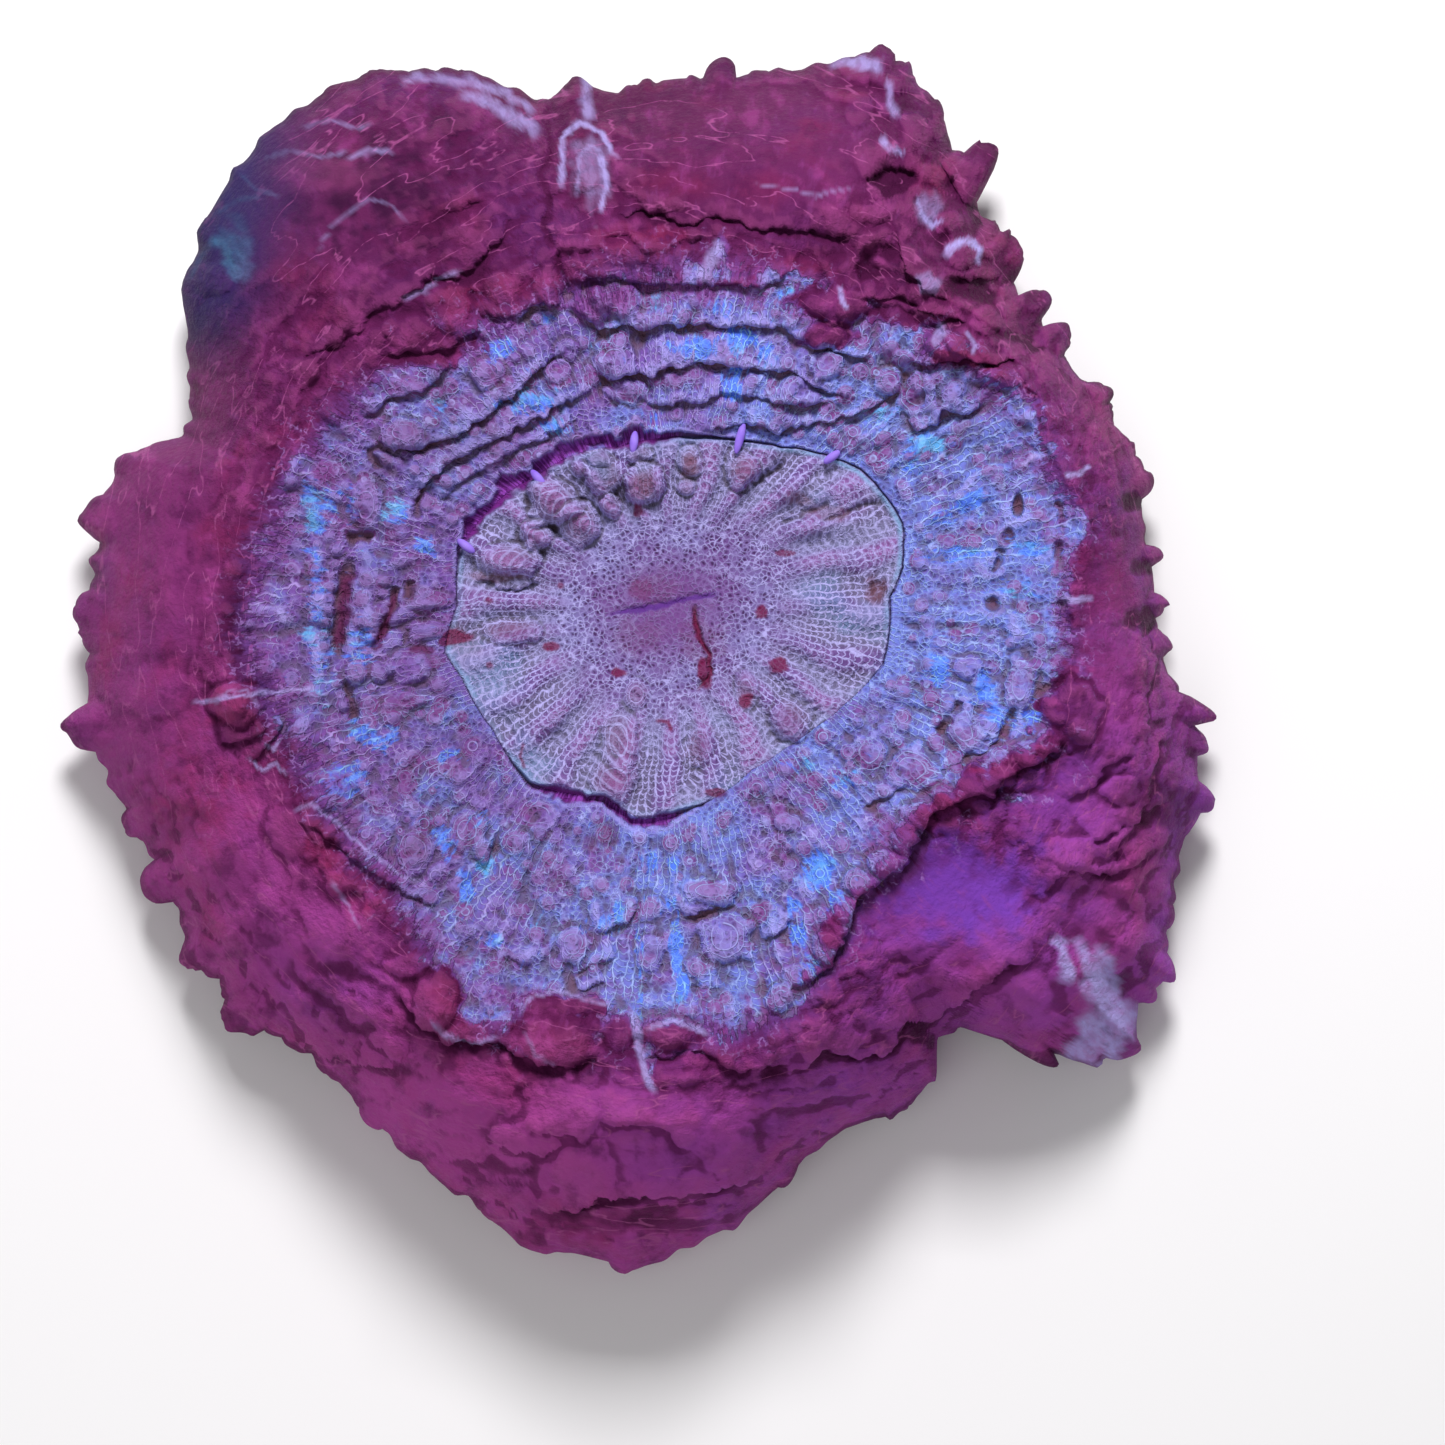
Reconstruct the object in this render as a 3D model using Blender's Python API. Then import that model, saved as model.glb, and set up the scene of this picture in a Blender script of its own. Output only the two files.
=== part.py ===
"""Acanthophyllia coral, a single large fleshy polyp on the cut end of its stony skeleton.

The polyp grew as one piece, so it is one closed solid: a sunken oral disc, a folded ring round it,
a wide mantle that hangs over the stone, and the stone cut off flat, on which the coral rests.
The origin is the middle of the cut. The mouth's slit runs along X and the polyp faces up +Z.
"""

import math

import bmesh
import bpy
import numpy as np

# Driving sizes in millimetres
FOOT_RADIUS = 42.0
STONE_TOP_RADIUS = 46.0
STONE_TOP = 5.0
DISC_HEIGHT = 26.5
DISC_EDGE_HEIGHT = 29.5
CREST_HEIGHT = 34.0
RIM_HEIGHT_NEAR = 6.0
RIM_HEIGHT_FAR = 8.5
LIP_THICKNESS = 3.8
STEP_WIDTH = 1.2
LIP_LEAN = 0.7

# The viewer looks down at the polyp from the -Y side, and the features are placed on that seen plane
VIEW_ELEVATION = math.radians(76)
VIEW_DISTANCE = 426.5
VIEW_TARGET = np.array([10.8, -15.6, 30.0])
PIXEL = 0.125
MOUTH_PIXEL = (667, 605)
MOUTH_ON_PLANE = (-6.94, 14.69)

# Mesh density of the modelled surface, and the share of its triangles that the solid keeps
ANGLE_STEPS = 288
FACES_KEPT = 9400

# Radius of the polyp's edge about the mouth, as (degrees, mm), with the valleys between its larger lobes
EDGE = (
    (0, 61.2), (6, 60.5), (12, 60.8), (16, 62.0), (23, 60.2), (30, 59.0), (37.6, 58.2), (43.7, 58.8),
    (48, 61.6), (53, 64.2), (58, 67.5), (62, 71.0), (66, 73.2), (70, 72.8), (75, 69.8), (80, 67.4),
    (86, 66.0), (95.5, 64.6), (100, 66.3), (103.3, 64.4), (107, 67.6), (111, 71.4), (116, 74.4),
    (120, 76.6), (126, 77.4), (133, 77.0), (141, 74.6), (147, 72.4), (150, 69.6), (153.6, 66.9),
    (158, 64.2), (161, 63.8), (164.4, 70.0), (169, 71.8), (175, 71.8), (180, 72.4), (186, 72.8), (191, 74.0),
    (196, 73.4), (200, 72.6), (205, 71.4), (212, 72.0), (217, 73.6), (222, 72.5), (228, 72.6), (233, 71.6),
    (240, 74.2), (247, 76.8), (253, 79.0), (257, 81.8), (263, 82.3), (267, 83.2), (271, 81.0), (276, 78.4),
    (280, 74.6), (284, 71.4), (289, 69.2), (296, 69.2), (299.4, 68.2), (302, 63.6), (304.6, 64.2),
    (307, 68.0), (309.5, 71.6), (313, 78.2), (317, 80.6), (320, 77.2), (323.5, 78.4), (326.5, 74.6),
    (331, 72.6), (336, 70.8), (340.5, 71.4), (344, 68.6), (347.2, 67.0), (350, 64.8), (354, 62.6), (357, 61.4),
)

# Papillae standing out of the edge: degrees, length and half width in mm
PAPILLAE = (
    (0.0, 1.3, 1.2), (5.8, 1.0, 1.0), (14.2, 1.4, 1.2), (26.2, 1.4, 1.2), (34.4, 2.5, 1.6), (39.4, 3.0, 1.5),
    (45.6, 3.2, 2.0), (54.6, 4.8, 1.7), (68.5, 1.8, 1.2), (84.3, 2.8, 1.6), (171.3, 2.8, 1.6),
    (180.8, 2.5, 1.8), (192.0, 3.8, 1.8), (202.2, 1.4, 1.2), (208.6, 4.4, 1.8), (216.4, 1.2, 1.6),
    (224.2, 4.6, 1.9), (240.0, 0.8, 1.4), (265.9, 0.9, 1.0), (282.0, 0.8, 1.0), (294.4, 0.9, 1.2),
    (309.6, 3.6, 1.2), (315.8, 1.4, 1.6), (324.0, 1.2, 1.2), (340.2, 1.4, 1.4), (345.6, 1.8, 1.2),
    (348.9, 3.2, 1.2),
)

# Radius of the oral disc's edge, and of the line where the ring meets the mantle, as (degrees, mm)
DISC_EDGE = (
    (2, 27.9), (9, 29.8), (19, 31.2), (26, 30.6), (35, 29.5), (46, 26.6), (54, 24.4), (66, 22.4), (80, 21.4),
    (95, 20.8), (106, 20.6), (120, 21.9), (135, 22.9), (150, 25.0), (165, 26.8), (180, 26.2), (192, 28.4),
    (200, 27.2), (216, 26.8), (232, 28.2), (245, 26.2), (252, 25.2), (262, 26.8), (271, 26.2), (279, 25.4),
    (287, 24.5), (297, 23.2), (309, 23.2), (320, 24.0), (331, 25.5), (345, 28.0), (356, 28.0),
)
RING_EDGE = (
    (0, 50.6), (10, 51.9), (22, 50.6), (33, 49.4), (42, 46.4), (52, 45.6), (60, 42.4), (72, 42.2), (90, 41.4),
    (105, 40.2), (120, 40.6), (133, 43.2), (146, 46.6), (160, 49.4), (172, 52.5), (185, 54.0), (197, 50.6),
    (212, 49.6), (225, 48.6), (238, 53.2), (247, 55.6), (258, 53.6), (272, 53.8), (283, 53.6), (295, 47.8),
    (303, 43.4), (315, 41.8), (325, 43.2), (335, 48.2), (343, 51.0), (352, 51.2),
)

# Depth of the slit round the disc, as (degrees, mm): open at the top and lower left, closed elsewhere
SLIT_DEPTH = (
    (0, 1.4), (40, 1.4), (60, 1.6), (82, 3.2), (165, 3.2), (185, 1.4), (222, 1.2), (234, 3.0), (276, 3.0),
    (292, 0.8), (335, 0.8),
)

# Overhanging edges of flesh, by photo pixel, with the flap on the left of the line of travel:
# points, rise of the lip, depth of the crevice under it, reach of the flap behind the lip, all three in mm
FLAPS = (
    (((574, 318), (594, 325), (664, 327), (735, 322), (777, 327), (806, 345)), 1.6, 2.0, 3.6),
    (((592, 372), (608, 379), (684, 364), (721, 361), (777, 369), (802, 375), (850, 396)), 1.7, 2.4, 4.0),
    (((640, 402), (693, 403), (737, 392), (771, 398), (802, 414), (842, 428)), 1.3, 1.6, 3.2),
    (((366, 446), (417, 445), (459, 428), (487, 409), (515, 384), (537, 364), (566, 350)), 1.7, 2.6, 4.4),
    (((368, 414), (419, 384), (446, 366)), 1.0, 1.4, 3.0),
    (((412, 506), (427, 481), (447, 459), (478, 439), (530, 414)), 1.3, 1.9, 3.4),
    (((610, 214), (636, 210), (664, 210), (681, 221), (721, 218), (763, 224), (805, 229), (862, 236)),
     2.0, 2.8, 9.0),
    (((905, 362), (934, 360), (1007, 357), (1030, 350)), 1.8, 2.2, 4.0),
    (((858, 438), (890, 428), (920, 428), (944, 414)), 1.4, 2.0, 3.4),
    (((369, 312), (403, 300), (425, 279), (459, 276), (487, 251), (515, 217)), 1.3, 1.5, 6.0),
    (((300, 356), (346, 338), (366, 326)), 1.2, 1.4, 4.0),
    (((540, 1212), (577, 1208), (596, 1195), (633, 1194), (681, 1197), (711, 1187), (766, 1177)),
     1.8, 3.4, 7.0),
    (((525, 1131), (557, 1129), (586, 1146)), 1.0, 1.6, 4.0),
    (((600, 1125), (653, 1124), (690, 1150)), 1.0, 1.6, 4.0),
    (((797, 990), (830, 966), (842, 937), (861, 894), (905, 863), (928, 816), (960, 796), (1003, 788)),
     2.2, 2.8, 5.0),
    (((780, 1068), (805, 1063), (822, 1048), (862, 1060), (889, 1049), (905, 1022), (931, 1018), (974, 990),
      (1013, 962), (1038, 955)), 1.8, 2.8, 6.0),
    (((1112, 842), (1157, 793), (1170, 766), (1188, 740)), 1.8, 2.4, 5.0),
    (((450, 1060), (520, 1064), (570, 1062), (602, 1054)), 1.6, 2.0, 4.0),
    (((220, 745), (242, 742), (266, 728)), 1.2, 1.2, 3.0),
    (((300, 1040), (345, 1062), (400, 1070)), 1.0, 1.4, 5.0),
)

# Open clefts with flesh on both sides, by photo pixel: points, depth and half width in mm
CLEFTS = (
    (((548, 96), (548, 148), (543, 187), (554, 204), (566, 286)), 3.0, 1.3),
    (((352, 558), (349, 574), (343, 599), (338, 633), (341, 660)), 2.6, 0.9),
    (((348, 686), (355, 716)), 1.6, 0.8),
    (((402, 588), (388, 616), (380, 636), (380, 656)), 2.0, 0.8),
    (((692, 604), (698, 636), (709, 655), (709, 674), (697, 692)), 1.2, 0.7),
    (((613, 614), (660, 606), (716, 595)), 1.0, 0.8),
    (((470, 966), (526, 964)), 1.2, 0.8),
    (((570, 988), (610, 978)), 1.4, 0.8),
    (((681, 916), (717, 908)), 1.2, 0.8),
    (((762, 938), (793, 914)), 1.2, 0.8),
    (((1062, 500), (1063, 560), (1064, 622)), 1.4, 1.0),
    (((1013, 706), (1003, 732), (947, 724)), 1.2, 0.9),
    (((398, 240), (447, 221), (490, 203)), 1.4, 1.2),
)

# Round swellings and hollows, by photo pixel: x, y, half width and half height in pixels, rise in mm
LUMPS = (
    (553, 502, 26, 24, 2.0), (579, 524, 20, 20, 1.6), (604, 476, 22, 22, 1.8), (645, 486, 21, 22, 2.0),
    (689, 486, 11, 14, 1.2), (743, 470, 18, 18, 1.4), (508, 559, 35, 18, 1.8), (537, 537, 18, 16, 1.4),
    (811, 489, 44, 18, 1.4), (830, 528, 56, 16, 1.2), (840, 630, 42, 26, 1.0), (789, 719, 20, 18, 1.2),
    (540, 700, 34, 26, 1.4), (512, 630, 30, 14, 1.0), (593, 304, 22, 20, 1.4), (614, 361, 22, 16, 1.2),
    (827, 361, 17, 16, 1.2), (889, 381, 16, 15, 1.4), (403, 431, 20, 14, 1.2), (557, 339, 22, 18, 1.2),
    (410, 667, 22, 20, 1.4), (365, 672, 14, 13, 1.0), (415, 849, 24, 22, 1.4), (460, 821, 20, 20, 1.2),
    (723, 936, 30, 26, 1.8), (650, 961, 17, 15, 1.2), (566, 941, 24, 20, 1.4), (703, 891, 28, 15, 1.0),
    (1021, 687, 15, 24, 1.4), (953, 729, 19, 17, 1.4), (981, 726, 15, 15, 1.2), (909, 763, 20, 18, 1.2),
    (1078, 711, 32, 28, 2.4), (566, 1032, 36, 26, 2.6), (667, 1034, 28, 16, 1.6), (436, 1008, 22, 28, 2.0),
    (608, 1011, 18, 14, 1.2), (234, 703, 24, 20, 2.6), (447, 305, 24, 22, 1.6), (214, 277, 17, 17, 1.4),
    (962, 252, 18, 16, 2.2), (928, 291, 20, 12, 1.4), (840, 305, 36, 16, 1.6), (640, 250, 50, 14, 1.0),
    (560, 1172, 44, 22, 1.4), (695, 1183, 16, 14, 1.0), (598, 176, 24, 42, 1.4), (330, 790, 30, 22, 1.2),
    (300, 830, 34, 24, 1.2), (345, 930, 40, 30, 1.4), (470, 1100, 44, 26, 1.2), (800, 1015, 36, 24, 1.2),
    (1060, 870, 40, 16, 1.2), (1085, 980, 26, 40, 1.6), (1100, 440, 24, 40, 1.2), (255, 400, 40, 36, 1.2),
    (160, 560, 24, 60, 1.0), (150, 690, 40, 22, 1.0), (210, 860, 40, 30, 1.2), (330, 170, 60, 26, 1.2),
    (330, 215, 120, 100, 2.6), (760, 150, 130, 56, 2.4), (1000, 1010, 60, 40, 1.8), (600, 1120, 120, 50, 2.0),
    (895, 173, 24, 20, -3.2), (881, 271, 22, 28, -2.0), (968, 288, 28, 14, -1.8), (1024, 340, 28, 16, -2.0),
    (976, 873, 74, 44, -1.6), (1132, 502, 10, 10, -1.8), (1141, 566, 9, 10, -1.8), (1143, 622, 14, 14, -2.4),
    (1014, 512, 9, 14, -1.4), (408, 636, 7, 10, -1.2), (878, 591, 14, 18, -0.8), (640, 1222, 90, 16, -1.4),
)


def around(knots, degrees):
    """A value given at some angles, read at any angle round the polyp."""
    angles, values = zip(*knots)
    return np.interp(degrees, angles, values, period=360)


def seen(pixel_x, pixel_y):
    """A photo pixel as mm right of and above the mouth on the seen plane."""
    return (pixel_x - MOUTH_PIXEL[0]) * PIXEL, (MOUTH_PIXEL[1] - pixel_y) * PIXEL


def lay(x, y, height):
    """Points on the seen plane, followed along the viewer's line of sight to the given heights."""
    sine, cosine = math.sin(VIEW_ELEVATION), math.cos(VIEW_ELEVATION)
    eye = VIEW_TARGET + VIEW_DISTANCE * np.array([0.0, -cosine, sine])
    across, up = x + MOUTH_ON_PLANE[0], y + MOUTH_ON_PLANE[1]
    plane = VIEW_TARGET + np.stack([across, up * sine, up * cosine], axis=1)
    share = (height - eye[2]) / (plane[:, 2] - eye[2])
    return eye + share[:, None] * (plane - eye)


def path_offsets(points, x, y):
    """Signed distance from a path, positive on its left, and the share of the path passed, 0 to 1."""
    corners = np.array([seen(*point) for point in points])
    steps = np.diff(corners, axis=0)
    lengths = np.hypot(steps[:, 0], steps[:, 1])
    starts = np.concatenate([[0], np.cumsum(lengths)])
    nearest = np.full(x.shape, np.inf)
    signed, passed = np.zeros(x.shape), np.zeros(x.shape)
    for corner, step, length, start in zip(corners, steps, lengths, starts):
        away_x, away_y = x - corner[0], y - corner[1]
        share = np.clip((away_x * step[0] + away_y * step[1]) / length**2, 0, 1)
        distance = np.hypot(away_x - share * step[0], away_y - share * step[1])
        side = np.where(step[0] * away_y - step[1] * away_x >= 0, 1.0, -1.0)
        closer = distance < nearest
        nearest = np.where(closer, distance, nearest)
        signed = np.where(closer, side * distance, signed)
        passed = np.where(closer, (start + share * length) / starts[-1], passed)
    return signed, passed


def end_fade(passed):
    """Fades a fold out at both ends of its path."""
    return np.clip(np.minimum(passed, 1 - passed) / 0.12, 0, 1) ** 0.7


def lattice_noise(x, y, cell, seed):
    """Smooth noise from -1 to 1 whose lumps are about one cell wide."""
    column, row = np.floor(x / cell).astype(int), np.floor(y / cell).astype(int)
    part_x, part_y = x / cell - column, y / cell - row
    part_x, part_y = part_x**2 * (3 - 2 * part_x), part_y**2 * (3 - 2 * part_y)
    grid = np.random.default_rng(seed).uniform(-1, 1, (97, 97))

    def corner(right, above):
        return grid[(column + right) % 97, (row + above) % 97]

    low = corner(0, 0) * (1 - part_x) + corner(1, 0) * part_x
    high = corner(0, 1) * (1 - part_x) + corner(1, 1) * part_x
    return low * (1 - part_y) + high * part_y


def papilla_reach(degrees, radius):
    """How far the papillae stand out of the polyp's edge at each angle."""
    reach = np.zeros(degrees.shape)
    for angle, length, half_width in PAPILLAE:
        away = np.abs((degrees - angle + 180) % 360 - 180) * math.radians(1) * radius
        reach += length * np.exp(-((away / half_width) ** 2))
    return reach


def rim_height(degrees):
    """Height of the mantle's edge above the ground, lower on the near side."""
    far = 0.5 + 0.5 * np.sin(np.radians(degrees))
    return RIM_HEIGHT_NEAR + (RIM_HEIGHT_FAR - RIM_HEIGHT_NEAR) * far


def smooth_height(degrees, section):
    """Height without folds: section 0 is the mouth, 1 the disc's edge, 2 the ring's, 3 the mantle's."""
    inner = np.interp(section, (0.0, 0.45, 0.8, 1.0, 1.6, 2.0),
                      (DISC_HEIGHT, DISC_HEIGHT + 0.6, DISC_EDGE_HEIGHT - 0.8, DISC_EDGE_HEIGHT,
                       CREST_HEIGHT - 2.4, CREST_HEIGHT))
    over = np.clip(section - 2, 0, 1)
    return inner - (1 - (1 - over**2.2) ** 0.75) * (CREST_HEIGHT - rim_height(degrees))


def relief(x, y, degrees, section):
    """Height that the ribs, flaps, clefts, lumps and waves add, and how far flap lips lean over, in mm."""
    rise = np.zeros(x.shape)
    lean = np.zeros((2, x.size))
    on_disc = np.clip((section - 0.42) / 0.2, 0, 1) * np.clip((1.0 - section) / 0.06, 0, 1)
    rise += 0.5 * np.cos(np.radians(degrees * 26)) * on_disc
    on_ring = np.clip((section - 1.05) / 0.1, 0, 1) * np.clip((2.1 - section) / 0.2, 0, 1)
    rise += 0.45 * np.cos(np.radians(degrees * 34)) * on_ring
    slit = np.exp(-(((section - 1.0) / 0.035) ** 2))
    rise -= slit * around(SLIT_DEPTH, degrees)
    for points, lip, cut, reach in FLAPS:
        signed, passed = path_offsets(points, x, y)
        fade = end_fade(passed)
        on_flap = np.clip(0.5 + signed / STEP_WIDTH, 0, 1)
        behind = np.exp(-np.clip(signed, 0, None) / reach)
        under = np.exp(-((np.clip(-signed, 0, None) / 1.7) ** 2))
        rise += fade * (lip * behind * on_flap - cut * under * (1 - on_flap))
        start, end = seen(*points[0]), seen(*points[-1])
        along = np.array([end[0] - start[0], end[1] - start[1]])
        along /= np.hypot(*along)
        push = fade * np.exp(-np.clip(signed, 0, None) / 1.6) * on_flap * LIP_LEAN
        lean += np.stack([along[1] * push, -along[0] * push])
    for points, depth, half_width in CLEFTS:
        signed, passed = path_offsets(points, x, y)
        rise -= end_fade(passed) * depth * np.exp(-((signed / half_width) ** 2))
    for pixel_x, pixel_y, half_across, half_up, swell in LUMPS:
        centre_x, centre_y = seen(pixel_x, pixel_y)
        away = ((x - centre_x) / (half_across * PIXEL)) ** 2 + ((y - centre_y) / (half_up * PIXEL)) ** 2
        rise += swell * np.clip(1 - (away / 1.44) ** 1.4, 0, 1)
    on_mantle = np.clip((section - 2.0) / 0.2, 0, 1) * np.clip((3.0 - section) / 0.06, 0, 1)
    rise += on_mantle * (1.3 * lattice_noise(x, y, 9.0, 3) + 0.9 * lattice_noise(x, y, 4.2, 4))
    rise += on_ring * 0.5 * lattice_noise(x, y, 3.6, 5)
    return rise, lean


def top_points(degrees, section):
    """Points on the upper face, from the mouth out to the mantle's edge."""
    radius = np.zeros(degrees.shape)
    reaches = (np.zeros(degrees.shape), around(DISC_EDGE, degrees), around(RING_EDGE, degrees),
               around(EDGE, degrees))
    for inner in range(3):
        share = np.clip(section - inner, 0, 1)
        radius += share * (reaches[inner + 1] - reaches[inner])
    radius += papilla_reach(degrees, reaches[3]) * np.clip((section - 2.86) / 0.14, 0, 1) ** 1.5
    x, y = radius * np.cos(np.radians(degrees)), radius * np.sin(np.radians(degrees))
    rise, lean = relief(x, y, degrees, section)
    return lay(x + lean[0], y + lean[1], smooth_height(degrees, section) + rise)


def under_points(degrees, section):
    """Points under the mantle: section 3 is its edge, 4 the top of the stone, 5 the cut, 6 its middle."""
    rim = top_points(degrees, np.full(degrees.shape, 3.0))
    angle = np.radians(degrees)
    ways = np.stack([np.cos(angle), np.sin(angle)], axis=1)
    ribs = 1 + 0.02 * np.cos(24 * angle)
    inward = np.clip(section - 3, 0, 1)[:, None]
    down = np.clip(section - 4, 0, 1)
    middle = np.clip(section - 5, 0, 1)[:, None]
    stone = STONE_TOP_RADIUS + (FOOT_RADIUS - STONE_TOP_RADIUS) * down**0.6
    flat = rim[:, :2] * (1 - inward) + ways * (stone * ribs)[:, None] * inward
    height = np.interp(section, (3.0, 3.06, 3.2, 4.0, 5.0), (0.0, 0.55, 1.0, 1.0, 1.0))
    under = rim[:, 2] - LIP_THICKNESS * height
    rising = np.clip((section - 3.2) / 0.8, 0, 1)
    under = under * (1 - rising) + STONE_TOP * rising
    z = under * (1 - down)
    return np.column_stack([flat * (1 - middle), z])


def numbered_barrel(rows):
    """A closed barrel with a pole at each end, whose rings are numbered by their depth."""
    barrel = bmesh.new()
    last = len(rows) - 1
    ring = [barrel.verts.new((0.0 if row in (0, last) else 1.0, 0.0, -row)) for row in range(last + 1)]
    edges = [barrel.edges.new(pair) for pair in zip(ring, ring[1:])]
    bmesh.ops.spin(barrel, geom=ring + edges, cent=(0, 0, 0), axis=(0, 0, 1), angle=2 * math.pi,
                   steps=ANGLE_STEPS, use_merge=True)
    bmesh.ops.remove_doubles(barrel, verts=barrel.verts, dist=1e-5)
    return barrel


def coral_mesh():
    """The polyp and its stone as one closed mesh, in metres."""
    top = np.concatenate([np.linspace(0, 0.9, 12), np.linspace(0.94, 1.06, 5), np.linspace(1.12, 2.0, 18),
                          np.linspace(2.05, 2.94, 21), [2.97, 3.0]])
    under = np.array([3.03, 3.06, 3.12, 3.2, 3.4, 3.7, 4.0, 4.35, 4.7, 5.0, 6.0])
    rows = np.concatenate([top, under])
    barrel = numbered_barrel(rows)
    places = np.array([vertex.co[:] for vertex in barrel.verts])
    section = rows[np.rint(-places[:, 2]).astype(int)]
    degrees = np.degrees(np.arctan2(places[:, 1], places[:, 0])) % 360
    moved = np.where((section <= 3.0)[:, None], top_points(degrees, section), under_points(degrees, section))
    for vertex, place in zip(barrel.verts, moved * 0.001):
        vertex.co = place
    bmesh.ops.recalc_face_normals(barrel, faces=barrel.faces)
    bmesh.ops.triangulate(barrel, faces=barrel.faces)
    mesh = bpy.data.meshes.new("coral")
    barrel.to_mesh(mesh)
    barrel.free()
    return mesh


def flesh_material():
    """Wet magenta flesh."""
    material = bpy.data.materials.new("flesh")
    material.use_nodes = True
    shader = material.node_tree.nodes["Principled BSDF"]
    shader.inputs["Base Color"].default_value = (0.22, 0.035, 0.16, 1.0)
    shader.inputs["Roughness"].default_value = 0.5
    shader.inputs["Metallic"].default_value = 0.0
    return material


def build_coral(collection):
    """The coral's object, with its spare triangles taken out where the surface is plain."""
    coral = bpy.data.objects.new("coral", coral_mesh())
    collection.objects.link(coral)
    coral.data.materials.append(flesh_material())
    coral.data.shade_smooth()
    thinned = coral.modifiers.new("Thinned", "DECIMATE")
    thinned.ratio = FACES_KEPT / len(coral.data.polygons)
    thinned.use_collapse_triangulate = True
    return coral


def main():
    for old in list(bpy.data.objects):
        bpy.data.objects.remove(old, do_unlink=True)
    parts = bpy.data.collections.new("acanthophyllia_coral")
    bpy.context.scene.collection.children.link(parts)
    build_coral(parts)


main()
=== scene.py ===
import math

import bmesh
import bpy
import numpy as np
from mathutils import Matrix, Vector


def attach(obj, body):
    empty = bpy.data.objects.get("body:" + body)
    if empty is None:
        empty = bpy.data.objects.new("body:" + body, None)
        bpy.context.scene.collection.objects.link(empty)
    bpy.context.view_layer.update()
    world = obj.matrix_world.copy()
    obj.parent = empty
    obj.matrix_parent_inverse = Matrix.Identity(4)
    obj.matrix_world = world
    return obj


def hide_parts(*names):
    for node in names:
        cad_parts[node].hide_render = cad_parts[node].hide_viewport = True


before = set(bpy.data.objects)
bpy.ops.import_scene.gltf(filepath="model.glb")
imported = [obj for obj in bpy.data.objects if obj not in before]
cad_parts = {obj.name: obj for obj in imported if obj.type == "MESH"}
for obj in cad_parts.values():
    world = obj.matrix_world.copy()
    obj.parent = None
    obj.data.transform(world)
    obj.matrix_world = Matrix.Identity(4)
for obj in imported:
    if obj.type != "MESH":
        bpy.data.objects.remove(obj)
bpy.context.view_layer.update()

# Camera, lights and floor.
# The photograph looks steeply down at the polyp from its near side, under soft light from its far side.
# Features are placed on the plane that the camera sees square on, in mm about the mouth.
VIEW_ELEVATION = math.radians(76)
VIEW_DISTANCE = 426.5
VIEW_TARGET = np.array([10.8, -15.6, 30.0])
PIXEL = 0.125
MOUTH_PIXEL = (667, 605)
MOUTH_ON_PLANE = (-6.94, 14.69)
SINE, COSINE = math.sin(VIEW_ELEVATION), math.cos(VIEW_ELEVATION)
EYE = VIEW_TARGET + VIEW_DISTANCE * np.array([0.0, -COSINE, SINE])
LIGHTS_AIM = Vector((0.0, 0.0, 0.03))
MM = 0.001

camera = bpy.data.objects.new("camera", bpy.data.cameras.new("camera"))
bpy.context.scene.collection.objects.link(camera)
camera.location = EYE * MM
camera.rotation_euler = (math.radians(90) - VIEW_ELEVATION, 0, 0)
camera.data.sensor_width = 36.0
camera.data.lens = 85.0
camera.data.clip_start = 0.01
bpy.context.scene.camera = camera


def soft_light(name, place, size, watts, colour):
    """A square area light at a place, aimed at the middle of the polyp."""
    light = bpy.data.objects.new(name, bpy.data.lights.new(name, "AREA"))
    light.data.size = size
    light.data.energy = watts
    light.data.color = colour
    light.location = place
    light.rotation_euler = (LIGHTS_AIM - light.location).to_track_quat("-Z", "Y").to_euler()
    bpy.context.scene.collection.objects.link(light)


soft_light("main_light", place=(0.02, 0.36, 0.52), size=0.18, watts=3.9, colour=(1.0, 0.98, 1.0))
soft_light("room_fill", place=(-0.20, -0.40, 0.60), size=0.60, watts=1.2, colour=(1.0, 0.99, 1.0))

world = bpy.data.worlds.new("studio")
bpy.context.scene.world = world
world.use_nodes = True
world.node_tree.nodes["Background"].inputs["Color"].default_value = (1.0, 1.0, 1.0, 1.0)
world.node_tree.nodes["Background"].inputs["Strength"].default_value = 0.24
bpy.context.scene.view_settings.view_transform = "Standard"
bpy.context.scene.view_settings.look = "None"


def plain_material(name, colour, roughness):
    """A material of one colour."""
    material = bpy.data.materials.new(name)
    material.use_nodes = True
    shader = material.node_tree.nodes["Principled BSDF"]
    shader.inputs["Base Color"].default_value = (*colour, 1.0)
    shader.inputs["Roughness"].default_value = roughness
    return material


floor_sheet = bmesh.new()
bmesh.ops.create_grid(floor_sheet, x_segments=1, y_segments=1, size=3.0)
floor_mesh = bpy.data.meshes.new("floor")
floor_sheet.to_mesh(floor_mesh)
floor_sheet.free()
floor = bpy.data.objects.new("floor", floor_mesh)
bpy.context.scene.collection.objects.link(floor)
floor.data.materials.append(plain_material("floor_white", (0.93, 0.93, 0.93), 0.9))


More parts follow.
